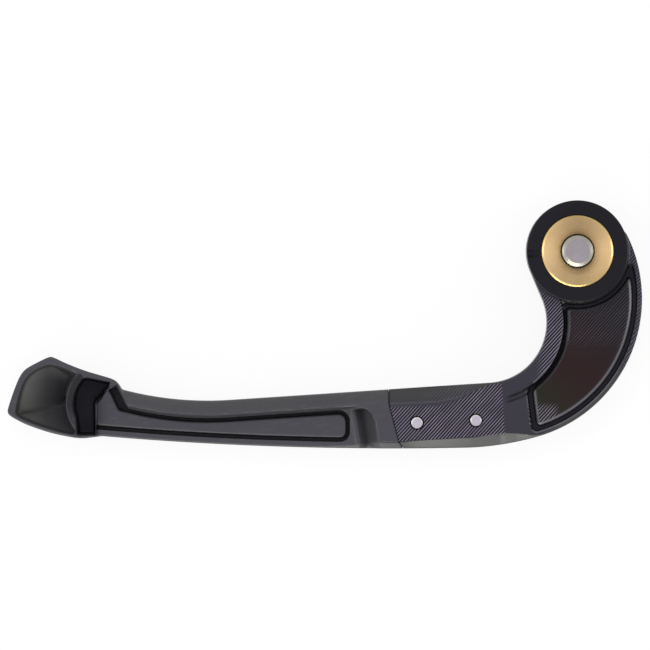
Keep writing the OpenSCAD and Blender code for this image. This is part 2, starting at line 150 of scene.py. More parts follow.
# %% Helpers for curves and distances
def arc(c, r, a0, a1, n):
    """n points on a circle round c: the centre plus r times the cosine and the sine of the angle."""
    a = np.radians(np.linspace(a0, a1, n))
    return np.stack([c[0] + r * np.cos(a), c[1] + r * np.sin(a)], axis=1)


def at_angle(c, r, degrees):
    """One point of that circle."""
    return arc(c, r, degrees, degrees, 1)[0]


def bezier(p, n):
    """n points on a cubic curve from p[0] to p[3], pulled towards p[1] and p[2]. The four are weighed by
    the terms of (s + t) cubed, where s is 1 - t."""
    t = np.linspace(0, 1, n)[:, None]
    s = 1 - t
    return s**3 * p[0] + 3 * s**2 * t * p[1] + 3 * s * t**2 * p[2] + t**3 * p[3]


def resample(points, n):
    """n points spread evenly along a polyline, by its length."""
    run = np.concatenate([[0], np.cumsum(np.linalg.norm(np.diff(points, axis=0), axis=1))])
    at = np.linspace(0, run[-1], n)
    return np.stack([np.interp(at, run, points[:, 0]), np.interp(at, run, points[:, 1])], axis=1)


def cut_corners(points, times):
    """Rounds a closed outline: each edge is replaced by its own middle half, again and again."""
    for _ in range(times):
        after = np.roll(points, -1, axis=0)
        points = np.stack([0.75 * points + 0.25 * after, 0.25 * points + 0.75 * after], axis=1)
        points = points.reshape(-1, 2)
    return points


def outline_distance(x, y, outline):
    """Distance from a closed outline, negative inside it. Each edge gives the distance to its nearest
    point, and a point is inside if a ray to its right crosses the outline an odd number of times."""
    best = np.full(x.shape, 1e9)
    inside = np.zeros(x.shape, bool)
    for a, b in zip(outline, np.roll(outline, -1, axis=0)):
        d = b - a
        t = np.clip(((x - a[0]) * d[0] + (y - a[1]) * d[1]) / (d @ d + 1e-12), 0, 1)
        best = np.minimum(best, np.hypot(x - a[0] - t * d[0], y - a[1] - t * d[1]))
        if a[1] != b[1]:
            crosses = (a[1] > y) != (b[1] > y)
            inside ^= crosses & (x < a[0] + (y - a[1]) * d[0] / d[1])
    return np.where(inside, -best, best)


def smooth(t):
    """Smoothstep: 0 below 0, 1 above 1, and three t squared minus two t cubed between."""
    t = np.clip(t, 0, 1)
    return t * t * (3 - 2 * t)


def soft(u, k):
    """u where it is positive and 0 elsewhere, with its corner rounded over about k."""
    return (u + np.sqrt(u * u + k * k)) / 2


def rolled(e):
    """Drop at the distance e inside an edge that is rolled over as a quarter circle of edge_r."""
    nearest = np.clip(edge_r - e, 0, edge_r)
    return edge_r - np.sqrt(edge_r**2 - nearest**2)


square = arc((0, 0), 1, 0, 270, 4)
print("corner cutting turns a square into", len(cut_corners(square, 3)), "points")

# %% [markdown]
# Both big pieces are rings carried along a path: a ring runs over the top, down one side, back under the
# piece and up the other side. The top is a height map, z = f(x, y). A plain grid would waste points on
# flat places, so each ring first samples its height finely, and then gathers its points where the height
# bends.

# %% Points that gather at the edges
def gather(height, n, spread):
    """Shares along each row where n points go. The density is a constant plus the size of the height's
    first and second differences, and the points sit at equal parts of its sum. Density and points are
    both smoothed from row to row, so that the lines between the rows run straight."""
    rows, fine = height.shape
    bend = np.abs(np.gradient(np.gradient(height, axis=1), axis=1)) * fine
    density = np.abs(np.gradient(height, axis=1)) * 1.5 + bend * 1.2
    for _ in range(4):
        density = (density + np.roll(density, 1, 1) + np.roll(density, -1, 1)) / 3
    density = density / density.sum(1, keepdims=True) + spread / fine
    for _ in range(12):
        density[1:-1] = (density[:-2] + 2 * density[1:-1] + density[2:]) / 4
    run = np.cumsum(density, axis=1)
    run = (run - run[:, :1]) / (run[:, -1:] - run[:, :1])
    at = np.linspace(0, 1, fine)
    want = np.linspace(0, 1, n)
    found = np.stack([np.interp(want, row, at) for row in run])
    for _ in range(20):
        found[1:-1] = (found[:-2] + 2 * found[1:-1] + found[2:]) / 4
    return found


def lengths(x, y):
    """Distances of each point from its station's two ends, straight across."""
    return np.hypot(x - x[:, :1], y - y[:, :1]), np.hypot(x - x[:, -1:], y - y[:, -1:])


def front(plan, height, rows, fine, n):
    """The front of a piece, as x, y and z in a grid of rows by n. plan gives x and y of a share across
    each station, and height gives z. Each row is sampled at fine places, and then n points are gathered."""
    x, y = plan(np.repeat(np.linspace(0, 1, fine)[None], rows, axis=0))
    share = gather(height(x, y, *lengths(x, y)), n, 0.45)
    share[:, 0], share[:, -1] = 0, 1
    x, y = plan(share)
    return x, y, height(x, y, *lengths(x, y))


one_step = np.repeat([[1.0, 0.0]], 50, axis=1)
print("nine points round one step:", gather(one_step, 9, 0.45)[0].round(2))

# %% [markdown]
# The next helpers make meshes. A tube joins rings, a turned form carries a profile round an axis, and
# put_piece turns both into an object. Extruding and bevelling by hand would give the same kinds of faces,
# but here a section can be read and changed in one place.

# %% Tubes, turned forms and pieces
def tube(rings, zipped=False):
    """Points and faces of a closed surface over rings of equal length, with a fan over each end. Where
    the first ring's two sides meet, zipped leaves out the fan there."""
    m, n, _ = rings.shape
    points = [rings.reshape(-1, 3), rings[-1:].mean(1)]
    i, j = np.meshgrid(np.arange(n), np.arange(m - 1))
    a, b = j * n + i, j * n + (i + 1) % n
    quads = np.stack([a, b, b + n, a + n], axis=-1).reshape(-1, 4)
    k = np.arange(n)
    last = np.stack([(m - 1) * n + k, (m - 1) * n + (k + 1) % n, *[np.full(n, m * n)] * 2], axis=1)
    faces = [quads, last]
    if not zipped:
        points.append(rings[:1].mean(1))
        faces.append(np.stack([(k + 1) % n, k, *[np.full(n, m * n + 1)] * 2], axis=1))
    return np.concatenate(points), np.concatenate(faces)


def turned(profile, n=128, closed=False, shape=None):
    """Points and faces of a turned form: each (r, z) of the profile goes round the z axis as
    (r cos a, r sin a, z). shape may change the radii: it gets r, z and the angle as a grid."""
    a = np.linspace(0, 2 * np.pi, n, endpoint=False)
    profile = np.asarray(profile, float)
    r = np.repeat(profile[:, :1], n, axis=1)
    z = np.repeat(profile[:, 1:], n, axis=1)
    if shape is not None:
        r, z = shape(r, z, a[None, :])
    points = np.stack([r * np.cos(a), r * np.sin(a), z], axis=-1).reshape(-1, 3)
    m = len(profile)
    i, j = np.meshgrid(np.arange(n), np.arange(m if closed else m - 1))
    p, q = j * n, ((j + 1) % m) * n
    quads = np.stack([p + i, p + (i + 1) % n, q + (i + 1) % n, q + i], axis=-1)
    return points, quads.reshape(-1, 4)


def put_piece(name, shells, sharp=35):
    """One object from closed shells in millimetres, z from the back. Doubles are merged, so that poles
    close, normals are turned outwards, and edges sharper than the angle stay crisp."""
    starts = np.cumsum([0] + [len(p) for p, _ in shells[:-1]])
    points = np.concatenate([p for p, _ in shells]) - [0, 0, seat_z]
    faces = np.concatenate([f + s for (_, f), s in zip(shells, starts)])
    mesh = bpy.data.meshes.new(name)
    mesh.from_pydata((points * mm).tolist(), [], [list(dict.fromkeys(f)) for f in faces.tolist()])
    work = bmesh.new()
    work.from_mesh(mesh)
    bmesh.ops.remove_doubles(work, verts=work.verts, dist=2e-7)
    bmesh.ops.dissolve_degenerate(work, edges=work.edges, dist=1e-7)
    bmesh.ops.recalc_face_normals(work, faces=work.faces)
    work.to_mesh(mesh)
    work.free()
    piece = bpy.data.objects.new(name, mesh)
    bpy.context.scene.collection.objects.link(piece)
    crisp_edges(piece, sharp)
    return piece


def crisp_edges(piece, angle):
    """Smooth shading everywhere, with a hard line along edges whose faces turn by more than angle."""
    mesh = piece.data
    mesh.polygons.foreach_set("use_smooth", np.ones(len(mesh.polygons), bool))
    mesh.set_sharp_from_angle(angle=np.radians(angle))
    mesh.update()
    triangles = sum(len(p.vertices) - 2 for p in mesh.polygons)
    print(piece.name, len(mesh.vertices), "points,", triangles, "triangles")

# %% [markdown]
# The arm. On the real part a cutter has left it flat on the tail, with a slope along each long edge. The
# hook has a raised band inside and a lowered face outside, and in that face a groove runs round a
# crescent panel. A flat outline, raised and bevelled, would give every step the same sharp edge, so the
# front is a height map over stations. They run from the seam round the hook to the boss. Each is a line
# from the inner to the outer edge, except near the boss, where the lines turn into an arc round it, so
# that none of them cross.

# %% Stations of the arm
def seam_at(t):
    """The seam's x at the share t of the depth: upright under the slope, then leaning, then kicked out."""
    lean = (tail_w - slope_w - 2.4) * np.tan(seam_lean)
    kink = [-seam_x, -seam_x + 0.1, -seam_x + 0.1 + lean, -seam_x + 1.4 + lean]
    return np.interp(t, [0, (slope_w + 0.4) / tail_w, 1 - 2 / tail_w, 1], kink)


end_r, end_deg = 14.5, 43
neck_deg = 180 + np.degrees(neck_lean)
inner_hook = arc(bend_c, bend_r, np.degrees(tail_slope) - 90, np.degrees(neck_lean), 200)
inner_neck = np.stack([
    at_angle(bend_c, bend_r, np.degrees(neck_lean)),
    at_angle((0, 0), boss_r, neck_deg),
    at_angle((0, 0), end_r, neck_deg),
])

leave_x = -34.0
sweep_from, sweep_to = -73.5, 27
leave = np.array([leave_x, low_edge(leave_x)])
sweep_start = at_angle(sweep_c, sweep_r, sweep_from)
along_sweep = np.array([np.sin(np.radians(sweep_from)), -np.cos(np.radians(sweep_from))])
into_sweep = bezier([leave, leave + [8, 0.3], sweep_start + 7 * along_sweep, sweep_start], 40)
outer_hook = np.concatenate([into_sweep, arc(sweep_c, sweep_r, sweep_from, sweep_to, 200)[1:]])
outer_neck = np.stack([
    outer_hook[-1],
    at_angle((0, 0), 0.96 * boss_r, end_deg - 2),
    at_angle((0, 0), end_r, end_deg),
])

tail_n, hook_n, neck_n = 110, 250, 46
x_in = np.linspace(-seam_x, line_start[0], tail_n)
x_out = np.linspace(seam_at(1.0), leave_x, tail_n)
inner = np.concatenate([
    np.stack([x_in, line_y(x_in)], axis=1),
    resample(inner_hook, hook_n)[1:],
    resample(inner_neck, neck_n)[1:],
])
outer = np.concatenate([
    np.stack([x_out, low_edge(x_out)], axis=1),
    resample(outer_hook, hook_n)[1:],
    resample(outer_neck, neck_n)[1:],
])
stations = len(inner)
seam_n, boss_n = 30, 150
like_seam = (1 - smooth(np.arange(stations) / seam_n))[:, None]
like_boss = smooth((np.arange(stations) - (stations - boss_n)) / (boss_n - 1))[:, None]


def arm_plan(t):
    """x and y of the share t along each station, for t as a grid with a row for each station. The line
    from edge to edge is bowed like the seam at one end and like the boss at the other. What is added is
    the seam's or the arc's way off its own chord, so both edges stay where they are."""
    x = inner[:, :1] * (1 - t) + outer[:, :1] * t
    y = inner[:, 1:] * (1 - t) + outer[:, 1:] * t
    x = x + like_seam * (seam_at(t) - seam_at(0.0) * (1 - t) - seam_at(1.0) * t)
    angle = np.radians(neck_deg + t * (360 + end_deg - neck_deg))
    x = x + like_boss * (end_r * np.cos(angle) - inner[-1, 0] * (1 - t) - outer[-1, 0] * t)
    y = y + like_boss * (end_r * np.sin(angle) - inner[-1, 1] * (1 - t) - outer[-1, 1] * t)
    return x, y


print(stations, "stations; first", inner[0].round(2), "last", inner[-1].round(2))

# %% [markdown]
# The arm's height map. Every feature is a drop that depends on one distance: from the guard's edge for
# the slopes, from the hook's inner circle for the raised band, and from the pocket's outline for the
# groove. The pocket is where four boundaries overlap, and rounding their corners needs only the square
# root of a sum of squares. The groove is what lies in the pocket but not on its panel, so its section is
# the product of the pocket's steep wall and the panel's round edge.

# %% The pocket and its panel
pocket_end = np.array([-15.6, -44.4])
end_lean = np.radians(7)
panel_inset = (1.4, 1.05, 1.3, 1.65)


def pocket_sides(x, y, inset):
    """Distances from the outer rim, the raised band, the boss and the pocket's end, each moved in by its
    inset. All are negative inside the pocket."""
    return np.stack([
        np.hypot(x - sweep_c[0], y - sweep_c[1]) - (sweep_r - rim_w) + inset[0],
        bend_r + band_w + 0.1 - np.hypot(x - bend_c[0], y - bend_c[1]) + inset[1],
        boss_r + pocket_gap - np.hypot(x, y) + inset[2],
        -((x - pocket_end[0]) * np.cos(end_lean) + (y - pocket_end[1]) * np.sin(end_lean)) + inset[3],
    ])


def pocket_distance(x, y, corner=2.0, inset=(0, 0, 0, 0)):
    """Distance from the crescent pocket, negative inside: the largest of the distances from its sides,
    with corners of the given radius."""
    sides = pocket_sides(x, y, inset)
    beyond = np.sqrt((np.maximum(sides + corner, 0) ** 2).sum(0))
    return np.minimum(-corner, sides.max(0)) + beyond


def panel_distance(x, y):
    """Distance from the panel in the pocket, negative on it. The groove round it is widest outside."""
    return pocket_distance(x, y, 1.5, panel_inset)


print("the pocket's side is", round(float(-pocket_distance(5.0, -35.0)), 2), "mm from its middle")

# %% [markdown]
# The slopes along the tail are as wide as the cutter went in, so their widths are short tables over x.
# The ramp is where the face outside the raised band starts to fall.

# %% Height of the arm's front
wall_at = [-0.2, 0, 0.14, 0.45]
wall_share = [1, 0.8, 0.14, 0]
round_at = [-1.25, -1.05, -0.85, -0.3, -0.12, 0, 0.12, 0.22]
round_share = [0, 0.012, 0.05, 0.25, 0.36, 0.52, 0.9, 1]
ramp_run = 9.0


def tail_slope_width(x):
    """Width of the slope along the tail's upper edge: it runs out where the hook begins."""
    return np.interp(x - line_start[0], [-32, -16.6, -10.6, -6.6, -2.6, 0], [4.2, 4.6, 3.7, 2.2, 1, 0.35])


def lower_bevel_width(x):
    """Width of the bevel along the tail's lower edge: it runs out where the outer sweep begins."""
    return np.interp(x - sweep_start[0], [-48, -12.2, -7.2, -2.2, 0.8], [2, 3.8, 2.6, 0.9, 0.3])


def ramp_edge(y):
    """x of the line across the tail where the ramp begins and the milled marks end."""
    return -23.3 - 0.067 * (y + 48)


def sweep_angle(x, y):
    """Angle of a point round the centre of the outer sweep, in degrees."""
    return np.degrees(np.arctan2(y - sweep_c[1], x - sweep_c[0]))


def arm_height(x, y, e_in, e_out):
    """Height of the arm's front above its back. e_in and e_out are the distances from the two edges."""
    slope = tail_slope_width(x)
    under = lower_bevel_width(x)
    rim = np.interp(sweep_angle(x, y), [-76, -66, -40, -10, 27], [0, 1.25, 1.2, 0.5, 0.4])
    under = np.where(x > sweep_start[0] - 2.2, np.maximum(under, rim), under)
    drop = soft(slope - e_in, 0.25 * np.clip(slope, 0.3, 4)) * slope_drop / slope_w
    drop = drop + soft(under - e_out, 0.06) * 0.9 + 0.12 * smooth((under - e_out) / 0.12) * (x < -16)

    from_band = np.hypot(x - bend_c[0], y - bend_c[1]) - bend_r - band_w
    stepped = np.interp(x, [-16.5, -14.5], [1, 0])
    plain_wall = np.interp(from_band, [-0.08, 0.02, 0.15, 0.35, 0.65, 1], [0, 0.12, 0.6, 0.85, 0.96, 1])
    stepped_wall = np.interp(from_band, [-0.08, 0.02, 0.25, 1.3, 1.7, 2.1], [0, 0.1, 0.5, 0.6, 0.93, 1])
    wall = plain_wall * (1 - stepped) + stepped_wall * stepped
    ramp = face_step * np.clip((x - ramp_edge(y)) / ramp_run, 0, 1)
    ramp = face_step - soft(face_step - ramp, 0.02)
    step_down = wall * np.clip(ramp, 0, face_step)

    groove = groove_depth * np.interp(pocket_distance(x, y), wall_at, wall_share)
    groove = groove * np.interp(panel_distance(x, y), round_at, round_share)
    fillet = 0.9 * np.clip(1 - (np.hypot(x, y) - boss_r) / 0.9, 0, 1) ** 2
    roll = rolled(np.minimum(e_in, e_out))
    return arm_t - drop - step_down - groove - roll + fillet * (from_band > 0)


ax, ay, az = front(arm_plan, arm_height, stations, 900, 180)
print("arm's front goes from", az.min().round(2), "to", az.max().round(2), "mm above the back")

# %% [markdown]
# The tail has a slot for the blade's tongue, open at both of its edges. So the tail is two leaves: the
# rings of the upper one stop at the slot's roof, and the lower one is a thin tube of its own. Where the
# slot ends, one station stands twice, once with the roof and once with the full height, and makes an
# upright wall.

# %% Rings of the arm
slot_roof, slot_floor = 10.25, 4.15
slot_end_x = -32
back_lift = 0.12
sharp_edge, broken_edge = 0.01, 0.5


def close_ring(x, y, z, under, chamfer, n=14):
    """Adds the sides and a back of n points to each ring. The back follows the same station, drawn in by
    the chamfer, at the height under. Near the boss it lifts by back_lift, so that it doesn't lie in the
    same plane as the boss's own back."""
    pick = np.round(np.linspace(1, 0, n) * (x.shape[1] - 1)).astype(int)
    bx, by = x[:, pick], y[:, pick]
    run_x, run_y = x[:, -1] - x[:, 0], y[:, -1] - y[:, 0]
    size = np.hypot(run_x, run_y)
    shift = np.zeros((len(x), n))
    shift[:, 0], shift[:, -1] = -chamfer, chamfer
    bx = bx + shift * (run_x / size)[:, None]
    by = by + shift * (run_y / size)[:, None]
    bz = under[:, None] + back_lift * smooth((boss_r + 2.5 - np.hypot(bx, by)) / 1.5)
    side = (under + chamfer)[:, None]
    ring_x = np.concatenate([x, x[:, -1:], x[:, -1:], bx, x[:, :1], x[:, :1]], axis=1)
    ring_y = np.concatenate([y, y[:, -1:], y[:, -1:], by, y[:, :1], y[:, :1]], axis=1)
    mid_out = z[:, -1:] * 0.5 + side * 0.5
    mid_in = z[:, :1] * 0.5 + side * 0.5
    ring_z = np.concatenate([z, mid_out, side, bz, side, mid_in], axis=1)
    return np.stack([ring_x, ring_y, ring_z], axis=-1)


slot_end = int(np.argmax(inner[:, 0] > slot_end_x))
in_slot = np.arange(stations) < slot_end
roof = np.full(stations, slot_roof)
sharp = np.full(stations, sharp_edge)
upper_rings = close_ring(ax, ay, az, np.where(in_slot, roof, 0.0), np.where(in_slot, sharp, broken_edge))
wall_ring = close_ring(ax, ay, az, roof, sharp)[slot_end]
upper_rings = np.insert(upper_rings, slot_end, wall_ring, axis=0)

keep = np.linspace(0, ax.shape[1] - 1, 24).round().astype(int)
lx, ly = ax[:slot_end + 1, keep], ay[:slot_end + 1, keep]
lz = np.full(lx.shape, slot_floor)
lower_rings = close_ring(lx, ly, lz, np.zeros(len(lx)), np.full(len(lx), broken_edge))
print("slot ends at station", slot_end)

# %% [markdown]
# The boss is a turned form, so it is a section carried round the axis: pairs of a radius and a height. It
# has the bush's seat in front and the bolt head's recess at the back. Cylinders cut out of each other
# would do as well, but in a section the small chamfers, as a machinist would leave them, are only a few
# more pairs.

# %% Section of the boss
boss_section = [
    (11.34, 11.5), (11.34, 17.8), (11.52, 18), (15.5, 18), (15.72, 17.95), (15.9, 17.82), (16, 17.6),
    (16, 15), (16, 8), (16, 0.5), (15.5, 0), (9.65, 0), (9.3, 0.35), (9.3, 9), (5.25, 9), (5.25, 11.5),
]
print("boss section has", len(boss_section), "corners")

# %% [markdown]
# Two screws come through the tail, so it needs their holes. Cutting them with a boolean is the simplest
# way to get a round hole in a grid that isn't round. The cutters are turned too, with a cone at each end:
# the small one breaks the hole's front edge, and the large one is the countersink at the back. The
# boolean wants one closed skin at a time, so both leaves are cut by themselves and joined with the boss
# afterwards.

# %% Screw holes, and the whole arm
def screw_y(x):
    """Middle of the tail at x, a little below the middle line."""
    return (top_y(x) + low_edge(x)) / 2 - 1.5


screw_x = (-50.5, -31.9)
screw_places = [(x, float(screw_y(x))) for x in screw_x]
cutter_section = [(0, -1), (5.35, -1), (2.2, 2.15), (2.2, 14.3), (2.45, 14.6), (2.45, 16), (0, 16)]


def cut(piece, cutter):
    """Cuts cutter out of piece with a boolean, whose result replaces the mesh."""
    modifier = piece.modifiers.new("hole", "BOOLEAN")
    modifier.object = cutter
    modifier.solver = "MANIFOLD"
    evaluated = piece.evaluated_get(bpy.context.evaluated_depsgraph_get())
    mesh = bpy.data.meshes.new_from_object(evaluated)
    piece.modifiers.clear()
    piece.data = mesh
    bpy.data.objects.remove(cutter)


def join(name, parts):
    """One object from several, whose meshes are put together as they are."""
    work = bmesh.new()
    for part in parts:
        work.from_mesh(part.data)
        bpy.data.objects.remove(part)
    mesh = bpy.data.meshes.new(name)
    work.to_mesh(mesh)
    work.free()
    piece = bpy.data.objects.new(name, mesh)
    bpy.context.scene.collection.objects.link(piece)
    return piece


points, faces = turned(cutter_section, 48)
cutters = [(points + [x, y, 0], faces) for x, y in screw_places]
parts = [put_piece("upper_part", [tube(upper_rings)]), put_piece("lower_leaf", [tube(lower_rings)])]
for part in parts:
    cut(part, put_piece("cutters", cutters))
parts.append(put_piece("boss_part", [turned(boss_section, 192, True)]))
arm = join("milled_arm", parts)
crisp_edges(arm, 35)

# %% [markdown]
# The milled marks show on the flats that the cutter crossed: the tail's face, the hook's band, the
# crescent panel and its rim. On the panel they are kept to its lower left corner and, faintly, its top,
# where they catch the light. A number on each point of the mesh says how milled it is, and the material
# reads that for the ridges' bump and for the painted highlight on them. It is worked out from where the
# point is, after the holes are cut.

# %% Where the arm is milled
def coordinates(piece):
    """All points of a piece's mesh, in millimetres, z from the back."""
    flat = np.zeros(len(piece.data.vertices) * 3)
    piece.data.vertices.foreach_get("co", flat)
    return flat.reshape(-1, 3) / mm + [0, 0, seat_z]


def set_number(piece, name, values):
    """Stores one number for each point, as an attribute that a material can read."""
    attribute = piece.data.attributes.new(name, "FLOAT", "POINT")
    attribute.data.foreach_set("value", values.astype(np.float32))


px, py, pz = coordinates(arm).T
band = np.hypot(px - bend_c[0], py - bend_c[1]) - bend_r
pocket = pocket_distance(px, py)
on_panel = panel_distance(px, py)
turn = sweep_angle(px, py)

slope_here = tail_slope_width(px)
from_top = np.where(px < line_start[0], line_y(px) - py, band)
flat_part = smooth((from_top - 1.2 * slope_here) / (0.28 * slope_here))
slope_part = 0.3 * smooth((px + 52) / 9) * (1 - smooth((px + 34) / 4)) * (from_top < slope_here)
on_bevel = (py - low_edge(px) < lower_bevel_width(px) + 0.1) & (px < -11)
tail = smooth((ramp_edge(py) - 0.1 - px) / 0.3 + 0.5) * np.maximum(flat_part, slope_part) * ~on_bevel

fade = smooth((px + 30) / 5) * (1 - smooth((px + 14) / 4))
hook_band = (band > 0.05) & (band < band_w - 0.1) & (px > -26)
in_corner = smooth((-px - 5) / 3) * smooth((-py - 47) / 3)
up_high = 0.2 * smooth((py + 34) / 8)
# On the panel the marks and their painted highlight go only where the light catches them.
panel = (on_panel < -0.9) * np.maximum(in_corner, up_high)
rim = (pocket > 0.3) * smooth((turn + 34) / 14) * (px > 5) * 0.55
milled = np.maximum.reduce([tail * (px < -22), hook_band * (1 - fade), panel, rim])
milled = milled * (pz > 11.5) * (np.hypot(px, py) > boss_r + 0.6)
set_number(arm, "milled", milled)
print("milled share of the points:", milled.mean().round(2))

# %% [markdown]
# Four more numbers tell the material where it is. "panel" marks the crescent panel, which gets a painted
# reflection tint and less shine, and "boss_face" marks the boss's face, which has a finish of its own.
# "sunk" is painted shade, darker colour and less shine, for the groove, the seam and the foot of the band,
# where little light gets in, and a little on the hook's milled face. "edge" is a painted highlight, a line
# of light painted on the small bevels of the panel and the rim. Each one is a smooth step or a bell of the
# same distances that shaped the front.

# %% Where the arm gets painted shade and painted highlights
set_number(arm, "panel", smooth((-0.75 - on_panel) / 0.4) * (pz > 10))
boss_face = (np.hypot(px, py) < boss_r + 0.2) & (pz > 17)
set_number(arm, "boss_face", boss_face * 1.0)

# Painted shade: the groove, the seam, the band's foot and the hook's milled face get darker colour.
in_groove = (pocket < 0.05) & (on_panel > 0.05)
in_groove = 0.8 * in_groove * smooth(12.6 - pz) * (pz > 8)
from_seam = px - seam_at((line_y(-seam_x) - py) / tail_w)
in_seam = smooth((0.3 - from_seam) / 0.25) * (pz > 9)
past_band = band - band_w
in_step = np.exp(-(((past_band - 0.2) / 0.42) ** 2)) + 0.9 * np.exp(-(((past_band - 1.6) / 0.36) ** 2))
in_step = np.minimum(1.2 * in_step, 1) * smooth((px + 23.4) / 3) * smooth((-13.4 - px) / 0.5) * (pz > 11)
on_hook = 0.2 * smooth((px + 18) / 6) * (milled > 0.05)
sunk = np.maximum.reduce([in_groove, in_seam, in_step, on_hook])
set_number(arm, "sunk", sunk)

# Painted highlight on the small bevels of the panel and the rim, stronger on some sides of the panel.
nearest = pocket_sides(px, py, panel_inset).argmax(0)
light_of_side = [np.full(px.shape, 1.0), 0.8 * smooth((py + 31) / 6), np.full(px.shape, 0.4),
                 np.full(px.shape, 0.6)]
panel_edge_highlight = np.choose(nearest, light_of_side) * np.exp(-(((on_panel + 0.55) / 0.38) ** 2))
rim_edge_highlight = 0.9 * np.exp(-(((pocket - 0.3) / 0.25) ** 2)) * smooth((-18 - turn) / 20) * (turn > -84)
set_number(arm, "edge", np.maximum(panel_edge_highlight, rim_edge_highlight * (px > -14)) * (pz > 10))
print("sunk share of the arm's points:", sunk.mean().round(2))

# %% [markdown]
# The blade. Its section is a rounded slope, a crease, a ledge above a sunk face, and in that face a
# channel round a long panel. At the arm's end the sunk face dips and climbs in a scoop, and at the other
# end the blade opens into a wing: a pointed dish, a bowed wall and a deep hollow behind it. The wing
# could be sculpted, but outlines can be laid over a photograph point by point, so it is drawn round its
# root, where the panel ends.

# %% Outlines of the wing
root_x = -(blade_low_x + 35)
root = np.array([root_x, (float(top_y(root_x)) + float(low_edge(root_x))) / 2])
wing_outline = cut_corners(root + np.array([
    [8.3, 5.4], [6.9, 8], [5.1, 9.4], [0.7, 10.7], [-3.1, 11.8], [-6.9, 13.2], [-10.7, 14.8],
    [-13.9, 16.4], [-15.1, 16.3], [-18, 14.9], [-21.1, 13.3], [-22.9, 12], [-24.4, 9.7], [-25.9, 5.9],
    [-27.1, 2.4], [-27.9, -0.2], [-27.9, -1.3], [-27.1, -2.3], [-24.5, -3.8], [-22, -5],
    [-18.2, -6.4], [-14.4, -7.6], [-10.7, -8.45], [-6.9, -9.15], [-4.1, -9.35], [-1.1, -9],
    [1.5, -8.7], [20, -9],
]), 2)
wing_outline = wing_outline[wing_outline[:, 0] < root[0] + 8.1]
bow_c = root + [4.1, 1.7]
bow_r = 13.7
bow_wall = 2.2
wing_mid = root + [-8.5, 2.6]
dish_outline = cut_corners(np.concatenate([
    root + np.array([
        [-6.5, 11.7], [-12.9, 14], [-16.2, 13.8], [-20.3, 11.7], [-22.9, 8.7], [-24.4, 4.3],
        [-25.5, -0.8], [-25.1, -2.3], [-21.8, -3.9], [-18.1, -5.3], [-14.3, -6.5], [-10.5, -7.6],
        [-7, -8.3],
    ]),
    arc(bow_c, bow_r, 220, 137, 14),
]), 2)
hollow_outline = np.concatenate([
    root + np.array([[4.1, 8.3], [-2.8, 9.7]]),
    arc(bow_c, bow_r - bow_wall, 137, 203, 12),
    root + np.array([[-6, -7.9], [-5.2, -8.2], [-0.3, -8.2], [-0.5, 1.7], [3.7, 6.9]]),
])
tip = int(np.argmin(wing_outline[:, 0]))
print("wing's tip at", wing_outline[tip].round(2))

# %% [markdown]
# The panel and the sunk face follow the blade's own edges at a fixed distance, so their outlines are made
# from the same functions as those edges.

# %% Outlines of the panel and the sunk face
def along(x0, x1, n, edge, away):
    """n points that follow an edge of the blade at a fixed height away from it."""
    x = np.linspace(x0, x1, n)
    return np.stack([x, edge(x) + away], axis=1)


scoop_x = -69.4
channel_w = 1.2
panel_end = scoop_x - 3.5
ledge_w = 1.25


def panel_plan(grow):
    """The panel's outline, or with grow the outer edge of the channel round it. The channel is widest where
    it runs down beside the wing's shoulder."""
    end_up, end_low = panel_end - 2.4, panel_end - 1.8
    inset = slope_w + ledge_w + channel_w - grow
    lift = 2.1 + channel_w - grow
    return np.concatenate([
        root + np.array([[-0.45 - 2 * grow, 1.7 + grow], [3.7 + 2.1 * grow, 6.7 + 0.35 * grow]]),
        along(root[0] + 7 + 2.2 * grow, end_up, 50, top_y, -inset),
        arc((end_up, float(top_y(end_up)) - inset - 2.4 - grow), 2.4 + grow, 80, 0, 7),
        arc((end_low, float(low_edge(end_low)) + lift + 1.8 + grow), 1.8 + grow, 0, -80, 7),
        along(end_low, root[0] - 0.4 - 2 * grow, 50, low_edge, lift),
    ])


panel_outline = panel_plan(0.0)
channel_outline = panel_plan(channel_w)
sunk_end = scoop_x + 1.6
sunk_outline = np.concatenate([
    root + np.array([[-0.2, -30], [-0.2, 1.9], [3.6, 6.9], [6.6, 7.6]]),
    along(root[0] + 10, sunk_end, 50, top_y, -slope_w - ledge_w),
    arc((sunk_end, float(top_y(sunk_end)) - slope_w - ledge_w - 3.4), 3.4, 84, 10, 8),
    [[-50, float(top_y(-64)) - slope_w - 6], [-50, -85]],
])
print("panel is", round(panel_end - root[0], 1), "mm long")

# %% [markdown]
# The blade's stations are lines across it, upright except near the seam, where they lean as the seam
# does. The wing needs them closer together than the long straight middle does.

# %% Stations of the blade
tip_x = wing_outline[tip, 0]
station_x = np.concatenate([
    tip_x + 0.02 + 0.5 * np.linspace(0, 1, 6)[:-1] ** 2,
    np.linspace(tip_x + 0.52, root[0] + 11, 230)[:-1],
    np.linspace(root[0] + 11, -77, 90)[:-1],
    np.linspace(-77, -seam_x - 0.2, 70),
])
upper_half = np.concatenate([wing_outline[: tip + 1][::-1], along(root[0] + 8.3, -50, 60, top_y, 0)])
lower_half = wing_outline[tip:]
lower_half = lower_half[lower_half[:, 0] < root[0] + 1.4]
lower_half = np.concatenate([lower_half, along(root[0] + 1.6, -50, 60, low_edge, 0)])
lean_from = -74
to_seam = smooth((station_x - lean_from) / (-lean_from - seam_x))[:, None]


def blade_plan(t):
    """x and y of the share t across each station, from the upper to the lower edge."""
    x = station_x[:, None] + to_seam * (seam_at(t) + seam_x)
    top = np.interp(x, upper_half[:, 0], upper_half[:, 1])
    low = np.interp(x, lower_half[:, 0], lower_half[:, 1])
    return x, top * (1 - t) + low * t


print(len(station_x), "stations on the blade")

